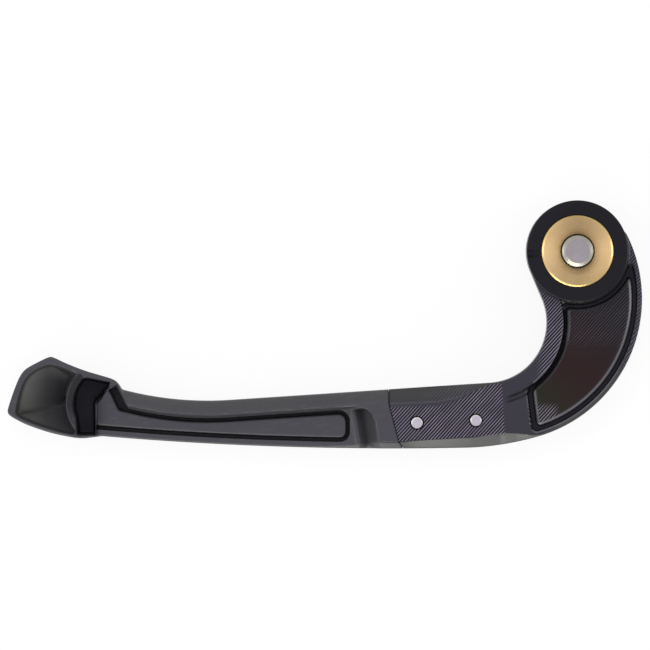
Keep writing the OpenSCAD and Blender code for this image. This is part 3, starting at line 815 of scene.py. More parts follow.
# %% [markdown]
# The blade's height map goes in layers: the rounded slope and its lip, then the sunk face, the scoop and
# the channel, then the wing's rim, dish and hollow. Each layer replaces the one below by how far inside
# its outline the point lies, with a rounded step at the outline.

# %% Steps, the wing's rim and the dish's floor
def step(d, edge, foot):
    """Share of a step down: 0 outside, 1 inside. The upper edge is rounded outside the outline and the
    foot inside it, and the wall between is steep."""
    return np.interp(d, [-foot, -0.5 * foot, -0.12, 0, 0.4 * edge, edge], [1, 0.96, 0.8, 0.28, 0.06, 0])


def wing_rim(x):
    """Height of the wing's rim, which climbs by 2.5 mm from the blade to the tip."""
    return arm_t + 2.5 * np.clip((root[0] + 8.5 - x) / 36.4, 0, 1)


def crease_y(x):
    """y of the crease in the dish."""
    return root[1] - 1.4 + (x - root[0] + 25) * 0.19


def scoop_run(x, y):
    """How far along the scoop a point lies: its x, with the lean of the scoop's edges taken out."""
    return x + 0.168 * (y + 53.2)


def dish_floor(x, y):
    """Height of the dish's floor. Two facets meet in a crease that falls from the tip to the wall, and
    each rises from it by the share of the way to the edge, raised to a power a little above one."""
    crease = crease_y(x)
    low = np.interp(x - root[0], [-25.5, -8.5], [8.5, 4.6])
    top = np.interp(x, upper_half[:, 0], upper_half[:, 1]) - 2.2
    bottom = np.interp(x, lower_half[:, 0], lower_half[:, 1]) + 1
    up = np.clip((y - crease) / np.maximum(top - crease, 0.5), 0, 1.2)
    down = np.clip((crease - y) / np.maximum(crease - bottom, 0.5), 0, 1.2)
    folded = np.sqrt((up + 1.15 * down) ** 2 + 0.05**2)
    return low + (12.6 - low) * folded**1.15


print("crease at the root is at y =", round(float(crease_y(root[0])), 2))

# %% [markdown]
# The long part and the wing are two functions, because the wing's layers lie over the long part's.

# %% Height of the blade's front
slope_at = [0, 0.06, 0.2, 0.45, 0.75, 0.95, 1.05]
slope_share = [1, 0.82, 0.63, 0.36, 0.13, 0.02, 0]
scoop_at = [-73, -71.2, -70.6, -69.9, -69.3, -68.4, -67.4, -66.4, -65.6, -64.8, -64.2, -63.8, -63.4]
scoop_z = [panel_z, 11.6, 11.95, 11.9, 11.4, 10.7, 10.3, 10.5, 11.2, 12.4, 13.5, 14.2, arm_t]
hollow_z = 4.0


def long_height(x, y, e_top, e_low, d_sunk):
    """Height of the long part: slope and ledge, sunk face and scoop, channel, and the bevel below."""
    ledge = np.interp(x - scoop_x, [-8.5, 3.5], [1.2, 0])
    ledge = ledge * np.interp(e_top - slope_w, [0, 0.12, 0.3, 1.0, ledge_w], [0, 0.15, 0.55, 0.75, 1])
    z = arm_t - slope_drop * np.interp(e_top / slope_w, slope_at, slope_share) - ledge

    floor = np.interp(scoop_run(x, y), scoop_at, scoop_z)
    z = z + (np.minimum(floor, z) - z) * step(d_sunk, 0.25, 0.4)

    d_panel = outline_distance(x, y, panel_outline)
    d_channel = outline_distance(x, y, channel_outline)
    channel = np.interp(d_panel, [-0.75, -0.45, -0.2, 0, 0.12, 0.3], [0, 0.03, 0.12, 0.35, 0.8, 1])
    channel = channel * np.interp(d_channel, [-0.25, -0.1, 0, 0.12, 0.25], [1, 0.85, 0.3, 0.06, 0])
    z = z - 2 * channel * (x > root[0] - 1) * (z < 13.9)

    bevel = np.interp(scoop_run(x, y), [-82, -70, -64], [0.5, 1.2, 2.1])
    notch = np.exp(-(((e_low - bevel - 0.15) / 0.18) ** 2)) * smooth((scoop_run(x, y) + 64) / 1.2)
    return z - 0.85 * soft(bevel - e_low, 0.1) - 0.22 * notch


def blade_height(x, y, e_top, e_low):
    """Height of the whole front above the back: the long part, with the wing's rim, dish and hollow."""
    d_sunk = outline_distance(x, y, sunk_outline)
    z = long_height(x, y, e_top, e_low, d_sunk)

    in_wing = smooth((root[0] + 8.8 - x) / 1.2)
    rim = wing_rim(x) - 0.45 * np.clip(1 - np.minimum(e_top, e_low) / 0.8, 0, 1) ** 2
    z = np.where(d_sunk > 0, z + (rim - z) * in_wing, z)

    d_dish = outline_distance(x, y, dish_outline)
    foot = np.where(y > root[1] + 4, np.interp(x - root[0], [-25, -14, -6], [0.5, 0.7, 2.6]), 0.6)
    in_dish = np.interp(d_dish, [0, 0.08, 0.3], [1, 0.2, 0]) * smooth(0.2 - 0.8 * d_dish / foot)
    z = z + (np.minimum(dish_floor(x, y), z) - z) * in_dish

    d_hollow = outline_distance(x, y, hollow_outline)
    z = z - 0.35 * smooth((0.9 - d_hollow) / 0.9) * (x > root[0] - 0.6) * (z < 12)
    z = z + (hollow_z - z) * step(d_hollow, 0.35, 0.9)
    return z - rolled(np.minimum(e_top, e_low))


gx, gy, gz = front(blade_plan, blade_height, len(station_x), 620, 160)
print("blade's front goes from", gz.min().round(2), "to", gz.max().round(2), "mm above the back")

# %% [markdown]
# Under its front the blade has a rounded back, and the wing tapers towards its middle like the bowl of a
# spoon. So each ring closes with four levels on either side. For the blade they are drawn in by a fixed
# amount; for the wing they are the outline, shrunk towards the wing's middle. At the tip both sides of
# one more ring meet half-way, point by point, which closes the wing there like a zip.

# %% Rings of the blade
long_levels = np.array([9, 4, 1.4, 0])
wing_levels = np.array([10.5, 6.5, 2.4, 0.4])
draw_in = np.array([0, 0, 1, 3.4])
shrink = np.array([1, 0.98, 0.9, 0.72])


def close_blade(x, y, z):
    """Adds the sides and back to each ring of the blade, blended between blade and wing."""
    wing = smooth((root[0] + 6 - x[:, :1]) / 8)
    levels = long_levels * (1 - wing) + wing_levels * wing
    depth = np.abs(y[:, :1] - y[:, -1:])
    sides = []
    for k, outward in ((-1, -1), (0, 1)):
        ex, ey = x[:, [k]], y[:, [k]]
        long_y = ey - outward * np.minimum(draw_in, depth * 0.4)
        wing_y = wing_mid[1] + (ey - wing_mid[1]) * shrink
        side_x = ex + (wing_mid[0] - ex) * (1 - shrink) * wing
        sides.append((side_x, long_y * (1 - wing) + wing_y * wing))
    (ox, oy), (ix, iy) = sides
    share = np.linspace(0, 1, 10)[1:-1]
    bx = ox[:, 3:] * (1 - share) + ix[:, 3:] * share
    by = oy[:, 3:] * (1 - share) + iy[:, 3:] * share
    bz = np.repeat(levels[:, 3:], len(share), axis=1)
    low_side = np.minimum(levels, z[:, -1:] - 0.3)
    top_side = np.minimum(levels, z[:, :1] - 0.3)
    ring_x = np.concatenate([x, ox, bx, ix[:, ::-1]], axis=1)
    ring_y = np.concatenate([y, oy, by, iy[:, ::-1]], axis=1)
    ring_z = np.concatenate([z, low_side, bz, top_side[:, ::-1]], axis=1)
    rings = np.stack([ring_x, ring_y, ring_z], axis=-1)
    front_n, rest_n = x.shape[1], ring_x.shape[1] - x.shape[1]
    opposite = np.concatenate([np.arange(front_n)[::-1], front_n + np.arange(rest_n)[::-1]])
    return np.concatenate([(rings[:1] + rings[:1, opposite]) / 2, rings])


tongue_n, tongue_gap = 30, 0.6
tongue_x = np.linspace(-seam_x - 3, -33, tongue_n)
tongue_top, tongue_low = top_y(tongue_x) - tongue_gap, low_edge(tongue_x) + tongue_gap
tongue = np.stack([
    np.repeat(tongue_x[:, None], 4, axis=1),
    np.stack([tongue_low, tongue_top, tongue_top, tongue_low], axis=1),
    np.repeat([[4.3, 4.3, 10.1, 10.1]], tongue_n, axis=0),
], axis=-1)
blade = put_piece("moulded_blade", [tube(close_blade(gx, gy, gz), zipped=True), tube(tongue)])

# %% [markdown]
# The blade gets two numbers. "sunk" is painted shade: it darkens the channel, the ledge, the dip of the
# scoop, the hollow, the dish with its crease and bowed wall, and the seam, where little light gets in. The
# other number is a painted light on the far side of the dish, which looks up at the light.

# %% Where the blade gets painted shade and painted light
px, py, pz = coordinates(blade).T
d_panel = outline_distance(px, py, panel_outline)
d_hollow = outline_distance(px, py, hollow_outline)
d_dish = outline_distance(px, py, dish_outline)

# Painted shade, in the parts that the sum below puts together.
in_channel = (d_panel > 0.04) & (outline_distance(px, py, channel_outline) < 0) & (px > root[0] - 1)
in_channel = in_channel * smooth((11.4 - pz) / 0.9)
beyond_slope = top_y(px) - py - slope_w
on_ledge = smooth((beyond_slope - 0.3) / 0.2) * smooth((ledge_w - 0.08 - beyond_slope) / 0.12)
on_ledge = 0.75 * on_ledge * (px > root[0] + 9) * smooth((scoop_x + 1 - px) / 4)
run = scoop_run(px, py)
in_dip = 0.9 * smooth((run + 69.9) / 2.4) * smooth((-64.6 - run) / 2.4) * (pz < 14.1)
in_dip = in_dip * (outline_distance(px, py, sunk_outline) < 0.1) * (pz > 9.6)
from_seam = px - seam_at((line_y(-seam_x) - py) / tail_w)
in_seam = smooth((from_seam + 0.5) / 0.25) * (from_seam < 0.05) * (px < -50) * (pz > 9)

in_hollow = 0.7 * smooth(-d_hollow / 0.4)
above = py > crease_y(px)
in_dish = smooth(-d_dish / 0.8) * np.interp(px - root[0], [-22, -12], [0, 0.6]) * (d_hollow > 0.1)
in_dish = in_dish * np.where(above, 1.1, 0.2)
in_crease = 0.6 * np.exp(-(((py - crease_y(px)) / 0.8) ** 2)) * smooth((-0.6 - d_dish) / 1.2)
on_wall = smooth((d_dish - 0.2) / 0.25) * smooth((d_hollow - 0.2) / 0.25)
on_wall = on_wall * (d_dish + d_hollow < bow_wall + 0.5) * (px < root[0]) * (py < root[1] + 11)
on_wall = on_wall * np.interp(py - root[1], [-6, 1], [0.35, 0.9])

sunk = np.maximum.reduce([in_channel, on_ledge, in_dip, in_hollow, in_dish, in_crease, on_wall, in_seam])
sunk = sunk * (pz > 2)
set_number(blade, "sunk", sunk)
# Painted light on the dish's far side.
painted_dish_light = np.interp(px - root[0], [-26, -23, -16, -11], [1, 1, 0.25, 0.05]) * smooth(-d_dish / 1.5)
set_number(blade, "painted_dish_light", painted_dish_light * np.where(above, 0.85, 0.8) * (pz > 2))
print("sunk share of the blade's points:", sunk.mean().round(2))

# %% [markdown]
# The brass bush and the steel fasteners are turned. The bush is faced and chamfered. The bolt has a
# hexagon socket at the back, and a real thread on the end that stands out in front: its radius follows a
# triangle wave of z divided by the pitch, less the share of a turn, which is what makes a screw.

# %% Bush, bolt and washer
bush_section = [
    (5.25, 11.5), (10.9, 11.5), (11.28, 11.9), (11.28, 17.98), (11.24, 18.12), (10.84, 18.52),
    (10.7, 18.6), (5.6, 18.6), (5.42, 18.54), (5.25, 18.35),
]
bush = put_piece("brass_bush", [turned(bush_section, 192, True)], 20)


def thread(low, high, core, crest, pitch):
    """A function for turned(): between low and high the radius follows a helix between core and crest,
    except where the profile is thinner than the helix."""
    def shape(r, z, a):
        turns = (z / pitch - a / (2 * np.pi)) % 1
        wave = np.clip(np.abs(turns - 0.5) * 2 * 1.25 - 0.12, 0, 1)
        helix = crest - (crest - core) * (1 - wave)
        here = (z > low) & (z < high) & (r > core)
        return np.where(here, np.minimum(r, helix), r), z
    return shape


def hexagon(across, low_z, high_z, flat):
    """A function for turned(): between the two heights, radii a little below flat become a hexagon. Its
    side lies at half its width, divided by the cosine of the angle from the side's middle."""
    def shape(r, z, a):
        sixth = (a + np.pi / 6) % (np.pi / 3) - np.pi / 6
        wanted = across / 2 / np.cos(sixth)
        here = (z >= low_z) & (z <= high_z) & (r > 0.6 * flat) & (r < flat)
        return np.where(here, r / (across / 2) * wanted, r), z
    return shape


thread_r, tip_bevel, tip_z = 4.9, 1.1, 23.4
rows = np.linspace(18.62, tip_z - tip_bevel, 80)
cone = tip_bevel * np.linspace(0, 1, 14)[1:]
bolt_section = np.concatenate([
    [(0, 4.6), (3.5, 4.6), (3.5, 0.75), (3.7, 0.42), (7.2, 0.4), (7.7, 0.55), (8, 1.1), (8, 6.9),
     (7.8, 7.4), (4.7, 7.4), (4.5, 7.6), (4.5, 12), (4.5, 18.2), (4.6, 18.5)],
    np.stack([np.full(rows.shape, thread_r), rows], axis=1),
    np.stack([thread_r - cone, tip_z - tip_bevel + cone], axis=1),
    [(3.5, tip_z), (1.4, tip_z - 0.02), (0, tip_z - 0.02)],
])
bolt_thread = thread(18.55, tip_z - 0.02, 4.02, thread_r, 1.5)
bolt_socket = hexagon(7, 0.5, 4.7, 3.6)
bolt = put_piece("centre_bolt_end", [
    turned(bolt_section, 144, shape=lambda r, z, a: bolt_socket(*bolt_thread(r, z, a), a)),
], 30)
washer_section = [
    (5.3, 7.4), (8.85, 7.4), (9, 7.55), (9, 8.85), (8.85, 9), (5.3, 9), (5.25, 8.9), (5.25, 7.5),
]
washer = put_piece("plain_washer", [turned(washer_section, 96, True)], 20)

# %% [markdown]
# The two blade screws are countersunk at the back and end just below the arm's face, with a turned point.
# They are one object, because they are the same screw twice and never move apart.

# %% Blade screws
screw_r, thread_top = 2.0, 13.7
rows = np.linspace(6, thread_top, 120)
screw_section = np.concatenate([
    [(0, 1.9), (1.25, 1.9), (1.25, 0.35), (1.35, 0.3), (3.75, 0.3), (3.88, 0.42), (3.85, 0.5), (2.0, 2.2),
     (2.0, 5.8)],
    np.stack([np.full(rows.shape, screw_r), rows], axis=1),
    [(1.95, 13.95), (1.72, 14.2), (1.5, 14.28), (0.9, 14.3), (0.45, 14.24), (0, 14.2)],
])
screw_thread = thread(6, thread_top, 1.62, screw_r, 0.7)
screw_socket = hexagon(2.5, 0.3, 2, 1.3)
points, faces = turned(screw_section, 60, shape=lambda r, z, a: screw_socket(*screw_thread(r, z, a), a))
screws = put_piece("countersunk_screws", [(points + [x, y, 0], faces) for x, y in screw_places], 30)

# %% [markdown]
# Every finish is made of shader nodes. These helpers make a node and set or link its inputs, so that a
# material reads as a short list of what feeds what. The last one gives a finished material to a piece.

# %% Helpers for shader nodes
def feed(tree, target, **inputs):
    """Sets a node's inputs by name, each from a value or from a socket to link. An underscore in a name
    stands for a space, and in0, in1 ... are sockets by number."""
    for key, value in inputs.items():
        by_number = key[:2] == "in" and key[2:].isdigit()
        socket = target.inputs[int(key[2:]) if by_number else key.replace("_", " ")]
        if isinstance(value, bpy.types.NodeSocket):
            tree.links.new(value, socket)
        else:
            socket.default_value = value


def node(tree, kind, settings=None, **inputs):
    """Adds a node, with settings as its own options, and feeds its inputs."""
    made = tree.nodes.new(kind)
    for key, value in (settings or {}).items():
        setattr(made, key, value)
    feed(tree, made, **inputs)
    return made


def maths(tree, operation, a, b=0.0, c=0.0):
    """A Math node's result."""
    return node(tree, "ShaderNodeMath", {"operation": operation}, in0=a, in1=b, in2=c).outputs[0]


def mix_colour(tree, share, a, b):
    """A colour between a and b. The Mix node keeps its colours in the sockets 6 and 7."""
    return node(tree, "ShaderNodeMix", {"data_type": "RGBA"}, in0=share, in6=a, in7=b).outputs[2]


def position(tree):
    """The Object coordinates, in metres from the bolt's axis."""
    return node(tree, "ShaderNodeTexCoord").outputs["Object"]


def number_here(tree, name):
    """The number that set_number stored on the mesh."""
    return node(tree, "ShaderNodeAttribute", {"attribute_name": name}).outputs["Fac"]


def noise(tree, where, scale, detail, **inputs):
    """Soft random values in space."""
    return node(tree, "ShaderNodeTexNoise", Vector=where, Scale=scale, Detail=detail, **inputs).outputs[0]


def ramp_between(tree, value, low, high):
    """0 below low, 1 above high, and a straight ramp between."""
    return node(tree, "ShaderNodeMapRange", Value=value, From_Min=low, From_Max=high).outputs[0]


def new_group(name, inputs, outputs):
    """An empty node group with named sockets: inputs as (name, kind, value), outputs as (name, kind)."""
    group = bpy.data.node_groups.new(name, "ShaderNodeTree")
    for label, kind, value in inputs:
        socket = group.interface.new_socket(label, in_out="INPUT", socket_type=kind)
        if value is not None:
            socket.default_value = value
    for label, kind in outputs:
        group.interface.new_socket(label, in_out="OUTPUT", socket_type=kind)
    return group, group.nodes.new("NodeGroupInput"), group.nodes.new("NodeGroupOutput")


def empty_tree(owner):
    """The node tree of a material or a world, with nothing in it."""
    owner.use_nodes = True
    owner.node_tree.nodes.clear()
    return owner.node_tree


def new_material(name):
    """A material with only a Principled shader, and its tree."""
    material = bpy.data.materials.new(name)
    tree = empty_tree(material)
    shader = node(tree, "ShaderNodeBsdfPrincipled")
    node(tree, "ShaderNodeOutputMaterial", Surface=shader.outputs[0])
    return material, tree, shader


def give(piece, material, slot_name, *nodes):
    """Puts a material on a piece, makes it ride on the body and stand for its CAD nodes."""
    piece.data.materials.clear()
    piece.data.materials.append(material)
    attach(piece, "root")
    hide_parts(*nodes)


print("node helpers:", [f.__name__ for f in (feed, node, maths, mix_colour, noise, new_group, give)])

# %% [markdown]
# Two effects are kept as groups, so that a material reads as one line for each. "handled surface" gives
# soft blotches and fine grain to every piece, because no real surface is even. "cutter marks" makes the
# parallel ridges that a ball-nosed cutter leaves: it turns the object's coordinates, divides by the pitch
# and folds the fraction into a wave. Its Ridge output is the mask of a painted highlight on the ridges,
# and noise that is stretched along them makes some of those painted lines brighter than others.

# %% Groups for a handled surface and for cutter marks
def use_group(tree, group, **inputs):
    """Places a group in a tree, with its own values."""
    return node(tree, "ShaderNodeGroup", {"node_tree": group}, **inputs).outputs


handled, inside, outside = new_group(
    "handled surface",
    [("Blotch Size", "NodeSocketFloat", 60.0), ("Grain Size", "NodeSocketFloat", 4000.0)],
    [("Blotch", "NodeSocketFloat"), ("Grain", "NodeSocketFloat")],
)
where = position(handled)
blotch = noise(handled, where, inside.outputs["Blotch Size"], 3.0, Roughness=0.6)
grain = noise(handled, where, inside.outputs["Grain Size"], 2.0)
feed(handled, outside, Blotch=blotch, Grain=grain)

marks, inside, outside = new_group(
    "cutter marks",
    [("Pitch", "NodeSocketFloat", 0.0008), ("Angle", "NodeSocketFloat", 0.85),
     ("Wander", "NodeSocketFloat", 0.05)],
    [("Ridge", "NodeSocketFloat"), ("Height", "NodeSocketFloat")],
)
where = position(marks)
split = node(marks, "ShaderNodeSeparateXYZ", Vector=where)
sine = maths(marks, "SINE", inside.outputs["Angle"])
cosine = maths(marks, "COSINE", inside.outputs["Angle"])
across = maths(marks, "SUBTRACT", maths(marks, "MULTIPLY", split.outputs[0], sine),
               maths(marks, "MULTIPLY", split.outputs[1], cosine))
length = maths(marks, "ADD", maths(marks, "MULTIPLY", split.outputs[0], cosine),
               maths(marks, "MULTIPLY", split.outputs[1], sine))
waver = maths(marks, "MULTIPLY", noise(marks, where, 140.0, 1.0), inside.outputs["Wander"])
lines = maths(marks, "ADD", maths(marks, "DIVIDE", across, inside.outputs["Pitch"]), waver)
height = maths(marks, "MULTIPLY", maths(marks, "PINGPONG", lines, 0.5), 2.0)
ridge = node(marks, "ShaderNodeMapRange", {"interpolation_type": "SMOOTHSTEP"}, Value=height,
             From_Min=0.5, From_Max=0.86).outputs[0]
stretched = node(marks, "ShaderNodeCombineXYZ", in0=maths(marks, "MULTIPLY", across, 900.0),
                 in1=maths(marks, "MULTIPLY", length, 120.0)).outputs[0]
uneven = maths(marks, "MULTIPLY_ADD", noise(marks, stretched, 1.0, 3.0), 1.5, 0.2)
feed(marks, outside, Ridge=maths(marks, "MULTIPLY", ridge, uneven),
     Height=maths(marks, "POWER", height, 1.4))
print("groups:", handled.name, "and", marks.name)

# %% [markdown]
# Black anodising is a dyed glassy skin on metal: almost black and satin. The crescent panel gets a painted
# reflection tint, which drifts from black over brown to olive, away from the boss. The ridges of the
# cutter get a painted highlight, thin violet-grey lines in the colour, the panel's and the rim's small
# bevels a painted line of light, and the sunk places painted shade. A metallic shader would mirror the
# studio, so the skin is a dark dielectric, and each of the arm's numbers takes away some of its shine.

# %% Anodised aluminium
anodised, tree, shader = new_material("anodised_aluminium")
touched = use_group(tree, handled, Blotch_Size=45.0, Grain_Size=5000.0)
cutter = use_group(tree, marks, Pitch=0.00079, Angle=np.radians(47.6), Wander=0.12)
milled_here, panel_here, boss_here, painted_shade_here, painted_highlight_here = [
    number_here(tree, name) for name in ("milled", "panel", "boss_face", "sunk", "edge")
]

# Painted reflection tint on the panel, from black over brown to olive away from the boss.
split = node(tree, "ShaderNodeSeparateXYZ", Vector=position(tree))
from_boss = maths(tree, "MULTIPLY", maths(tree, "ADD", split.outputs[0], split.outputs[1]), -1.0)
painted_reflection_tint = mix_colour(tree, ramp_between(tree, from_boss, 0.01, 0.034), (0.009, 0.008, 0.007, 1),
                 (0.016, 0.007, 0.006, 1))
painted_reflection_tint = mix_colour(tree, ramp_between(tree, from_boss, 0.04, 0.06), painted_reflection_tint, (0.012, 0.013, 0.006, 1))

colour = mix_colour(tree, touched["Blotch"], (0.006, 0.006, 0.007, 1), (0.01, 0.0098, 0.012, 1))
colour = mix_colour(tree, panel_here, colour, painted_reflection_tint)
colour = mix_colour(tree, boss_here, colour, (0.006, 0.006, 0.0065, 1))
# Painted highlight on the small bevels, then painted shade in the sunk places.
colour = mix_colour(tree, painted_highlight_here, colour, (0.085, 0.082, 0.092, 1))
colour = mix_colour(tree, painted_shade_here, colour, (0.005, 0.005, 0.006, 1))
# Painted highlight along the cutter's ridges, where the arm is milled.
bright = maths(tree, "MULTIPLY", maths(tree, "MULTIPLY", cutter["Ridge"], milled_here), 0.8)
colour = mix_colour(tree, bright, colour, (0.19, 0.165, 0.225, 1))

# Less shine on the boss's face, the panel and the milled flats, and as painted shade in the sunk places.
shine = maths(tree, "MULTIPLY_ADD", boss_here, -0.35, 0.5)
for here, less in ((panel_here, -0.72), (milled_here, -0.75), (painted_shade_here, -0.75)):
    shine = maths(tree, "MULTIPLY", shine, maths(tree, "MULTIPLY_ADD", here, less, 1.0))

ridges = maths(tree, "MULTIPLY", cutter["Height"], milled_here)
bump = node(tree, "ShaderNodeBump", Strength=0.6, Distance=0.00008, Height=ridges)
grit = node(tree, "ShaderNodeBump", Strength=0.12, Distance=0.00002, Height=touched["Grain"],
            Normal=bump.outputs[0])
feed(tree, shader, Base_Color=colour, Metallic=0.0, Specular_IOR_Level=shine, Normal=grit.outputs[0],
     Roughness=maths(tree, "MULTIPLY_ADD", touched["Blotch"], 0.12, 0.27))
give(arm, anodised, "arm", "arm")
print(anodised.name, "has", len(tree.nodes), "nodes")

# %% [markdown]
# The blade is moulded in a plastic filled with short glass fibre. It comes out matt, with a faint speckle
# and streaks along the flow. A single grey would look like paint, so the speckle is noise that is
# stretched along the blade, and only its peaks show.

# %% Moulded plastic
moulded, tree, shader = new_material("moulded_plastic")
touched = use_group(tree, handled, Blotch_Size=35.0, Grain_Size=3500.0)
flow = node(tree, "ShaderNodeMapping", Vector=position(tree), Scale=(0.25, 1.0, 1.0)).outputs[0]
streak = noise(tree, flow, 900.0, 3.0)
speck = maths(tree, "MULTIPLY", maths(tree, "GREATER_THAN", streak, 0.62), 0.12)
painted_shade_here = number_here(tree, "sunk")

colour = mix_colour(tree, touched["Blotch"], (0.019, 0.0185, 0.021, 1), (0.031, 0.03, 0.034, 1))
colour = mix_colour(tree, speck, colour, (0.075, 0.073, 0.085, 1))
# Painted light on the dish's far side, then painted shade in the sunk places.
colour = mix_colour(tree, number_here(tree, "painted_dish_light"), colour, (0.13, 0.135, 0.115, 1))
colour = mix_colour(tree, painted_shade_here, colour, (0.013, 0.013, 0.014, 1))

fibre = node(tree, "ShaderNodeBump", Strength=0.25, Distance=0.00003, Height=streak)
grit = node(tree, "ShaderNodeBump", Strength=0.3, Distance=0.00003, Height=touched["Grain"],
            Normal=fibre.outputs[0])
feed(tree, shader, Base_Color=colour, Normal=grit.outputs[0],
     # Less shine in the sunk places, as part of the painted shade.
     Specular_IOR_Level=maths(tree, "MULTIPLY_ADD", painted_shade_here, -0.4, 0.5),
     Roughness=maths(tree, "MULTIPLY_ADD", touched["Grain"], 0.15, 0.42))
give(blade, moulded, "blade", "blade")
print(moulded.name, "has", len(tree.nodes), "nodes")

# %% [markdown]
# Turned metal shows rings. A lathe's tool leaves a fine spiral, which on the bush's face spreads each
# highlight into two wedges that meet at the centre; on the bush those wedges are a painted reflection,
# colour that darkens towards plus and minus y. The height of the rings is a wave of the distance from the
# axis, and the same material serves brass and steel with other colours.

# %% Turned brass and steel
def turned_metal(name, light, dark, rough, pitch, depth, spread=0.0, painted_wedges=0.0):
    """A metal with lathe rings round the bolt's axis. spread draws its highlights out along the radius, and
    the last argument paints a reflection: it darkens the colour towards plus and minus y by the square of
    the angle's sine, which leaves two bright wedges along x."""
    material, tree, shader = new_material(name)
    touched = use_group(tree, handled, Blotch_Size=160.0, Grain_Size=2500.0)
    flat = node(tree, "ShaderNodeVectorMath", {"operation": "MULTIPLY"}, in0=position(tree),
                in1=(1, 1, 0)).outputs[0]
    radius = node(tree, "ShaderNodeVectorMath", {"operation": "LENGTH"}, in0=flat).outputs["Value"]
    outward = node(tree, "ShaderNodeVectorMath", {"operation": "NORMALIZE"}, in0=flat).outputs[0]
    jitter = node(tree, "ShaderNodeTexNoise", {"noise_dimensions": "1D"}, W=radius, Scale=2200.0,
                  Detail=3.0).outputs[0]
    wave = maths(tree, "PINGPONG", maths(tree, "DIVIDE", radius, pitch), 0.5)
    rings = maths(tree, "MULTIPLY_ADD", wave, 0.6, jitter)
    bump = node(tree, "ShaderNodeBump", Strength=depth, Distance=0.00002, Height=rings)

    shade = maths(tree, "MULTIPLY_ADD", touched["Blotch"], 0.8, maths(tree, "MULTIPLY", jitter, 0.35))
    # Painted reflection: two bright wedges along x, with the colour darker towards plus and minus y.
    sine = node(tree, "ShaderNodeSeparateXYZ", Vector=outward).outputs[1]
    fan = maths(tree, "MULTIPLY_ADD", maths(tree, "MULTIPLY", sine, sine), -painted_wedges, 1.0)
    colour = mix_colour(tree, fan, (0.0, 0.0, 0.0, 1), mix_colour(tree, shade, light, dark))
    around = node(tree, "ShaderNodeTangent", {"direction_type": "RADIAL", "axis": "Z"}).outputs[0]
    feed(tree, shader, Base_Color=colour, Metallic=1.0, Normal=bump.outputs[0], Tangent=around,
         Anisotropic=spread, Anisotropic_Rotation=0.25,
         Roughness=maths(tree, "MULTIPLY_ADD", touched["Grain"], 0.12, rough))
    return material


for piece, slot_name, cad_node, finish in [
    (bush, "bush", "boss_bush",
     ("turned_brass", (0.92, 0.7, 0.3, 1), (0.66, 0.47, 0.17, 1), 0.3, 0.00022, 1.0, 0.7, 0.42)),
    (bolt, "bolt", "centre_bolt",
     ("bolt_steel", (0.46, 0.45, 0.38, 1), (0.26, 0.24, 0.21, 1), 0.33, 0.0003, 0.2)),
    (washer, "washer", "bolt_washer",
     ("plated_steel", (0.6, 0.6, 0.61, 1), (0.45, 0.45, 0.46, 1), 0.3, 0.0004, 0.2)),
    (screws, "screws", "blade_screws",
     ("stainless_steel", (0.7, 0.7, 0.62, 1), (0.46, 0.44, 0.4, 1), 0.25, 0.0005, 0.1)),
]:
    give(piece, turned_metal(*finish), slot_name, cad_node)
    print(piece.name, "is made of", finish[0])

# %% [markdown]
# A plain white floor. It glows for the camera and in reflections, so that it renders white while it still
# takes the guard's soft shadow. To all other light it is plain white paper.

# %% Floor
floor_mesh = bpy.data.meshes.new("floor")
floor_z = -seat_z * mm - 0.00001
floor_half = 3
corners = [(x * floor_half, y * floor_half, floor_z) for x, y in ((-1, -1), (1, -1), (1, 1), (-1, 1))]
floor_mesh.from_pydata(corners, [], [(0, 1, 2, 3)])
floor = bpy.data.objects.new("floor", floor_mesh)
bpy.context.scene.collection.objects.link(floor)
paper = bpy.data.materials.new("paper")
tree = empty_tree(paper)
rays = node(tree, "ShaderNodeLightPath").outputs
seen = maths(tree, "MAXIMUM", rays["Is Camera Ray"], rays["Is Glossy Ray"])
seen = maths(tree, "MAXIMUM", seen, rays["Is Transmission Ray"])
diffuse = node(tree, "ShaderNodeBsdfDiffuse", Color=(0.8, 0.8, 0.8, 1))
glow = node(tree, "ShaderNodeEmission", Color=(1, 1, 1, 1), Strength=1.0)
white = node(tree, "ShaderNodeMixShader", in0=maths(tree, "MULTIPLY", seen, 0.88), in1=diffuse.outputs[0],
             in2=glow.outputs[0])
node(tree, "ShaderNodeOutputMaterial", Surface=white.outputs[0])
floor.data.materials.append(paper)
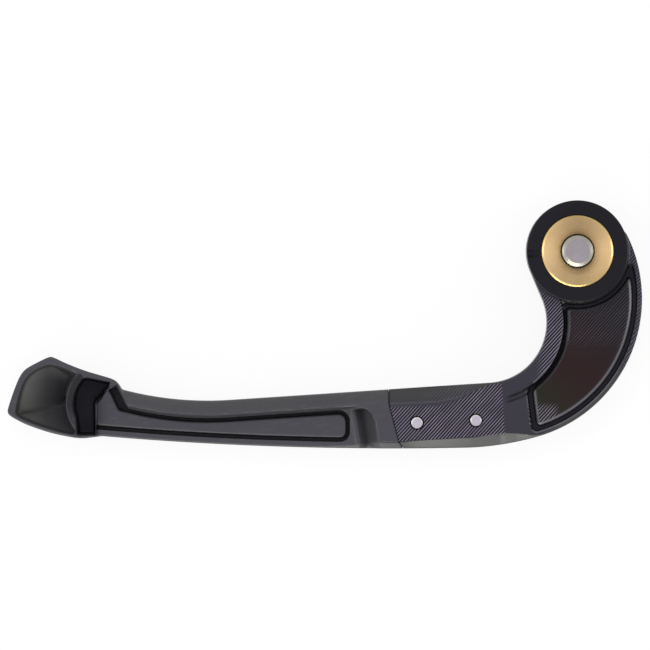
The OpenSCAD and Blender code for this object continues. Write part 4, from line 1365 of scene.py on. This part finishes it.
print("floor lies", round(floor_z / mm, 2), "mm from the bar end's face")

# %% [markdown]
# The light is a plain studio: bright all round, with four large soft lamps. Dark glossy parts show their
# shape through what they reflect. So glossy rays see a ceiling that is a little dimmer and more violet
# than the horizon, which tints the flats, while the front lamp brightens the bevels that lean towards it.

# %% World and lamps
world = bpy.data.worlds.new("studio")
bpy.context.scene.world = world
tree = empty_tree(world)
direction = node(tree, "ShaderNodeTexCoord").outputs["Generated"]
up = node(tree, "ShaderNodeSeparateXYZ", Vector=direction).outputs[2]
rays = node(tree, "ShaderNodeLightPath").outputs
reflected = mix_colour(tree, ramp_between(tree, up, 0.15, 0.95), (1.1, 1.12, 1.08, 1), (0.86, 0.79, 1.1, 1))
sky_colour = mix_colour(tree, rays["Is Glossy Ray"], (0.97, 0.97, 0.97, 1), reflected)
sky = node(tree, "ShaderNodeBackground", Color=sky_colour, Strength=1.0)
plain_white = node(tree, "ShaderNodeBackground", Color=(1, 1, 1, 1), Strength=1.0)
shown = node(tree, "ShaderNodeMixShader", in0=rays["Is Camera Ray"], in1=sky.outputs[0],
             in2=plain_white.outputs[0])
node(tree, "ShaderNodeOutputWorld", Surface=shown.outputs[0])


def lamp(name, place, size, watts, colour=(1, 1, 1), aim=(-0.08, -0.03, 0.0)):
    """A soft lamp at place that faces aim."""
    data = bpy.data.lights.new(name, "AREA")
    data.shape = "RECTANGLE"
    data.size, data.size_y = size
    data.energy = watts
    data.color = colour
    made = bpy.data.objects.new(name, data)
    made.location = place
    toward = Vector(aim) - Vector(place)
    made.rotation_euler = toward.to_track_quat("-Z", "Y").to_euler()
    bpy.context.scene.collection.objects.link(made)


lamp("front_lamp", (-0.4, -1.2, 0.3), (1.5, 0.35), 13, (1, 1, 0.93))
lamp("left_lamp", (-1.1, 0.1, 0.8), (0.5, 0.9), 4)
lamp("right_lamp", (1.2, 0.05, 0.6), (0.5, 0.9), 5)
lamp("back_lamp", (-0.3, 0.75, 1.1), (1.6, 0.35), 3)
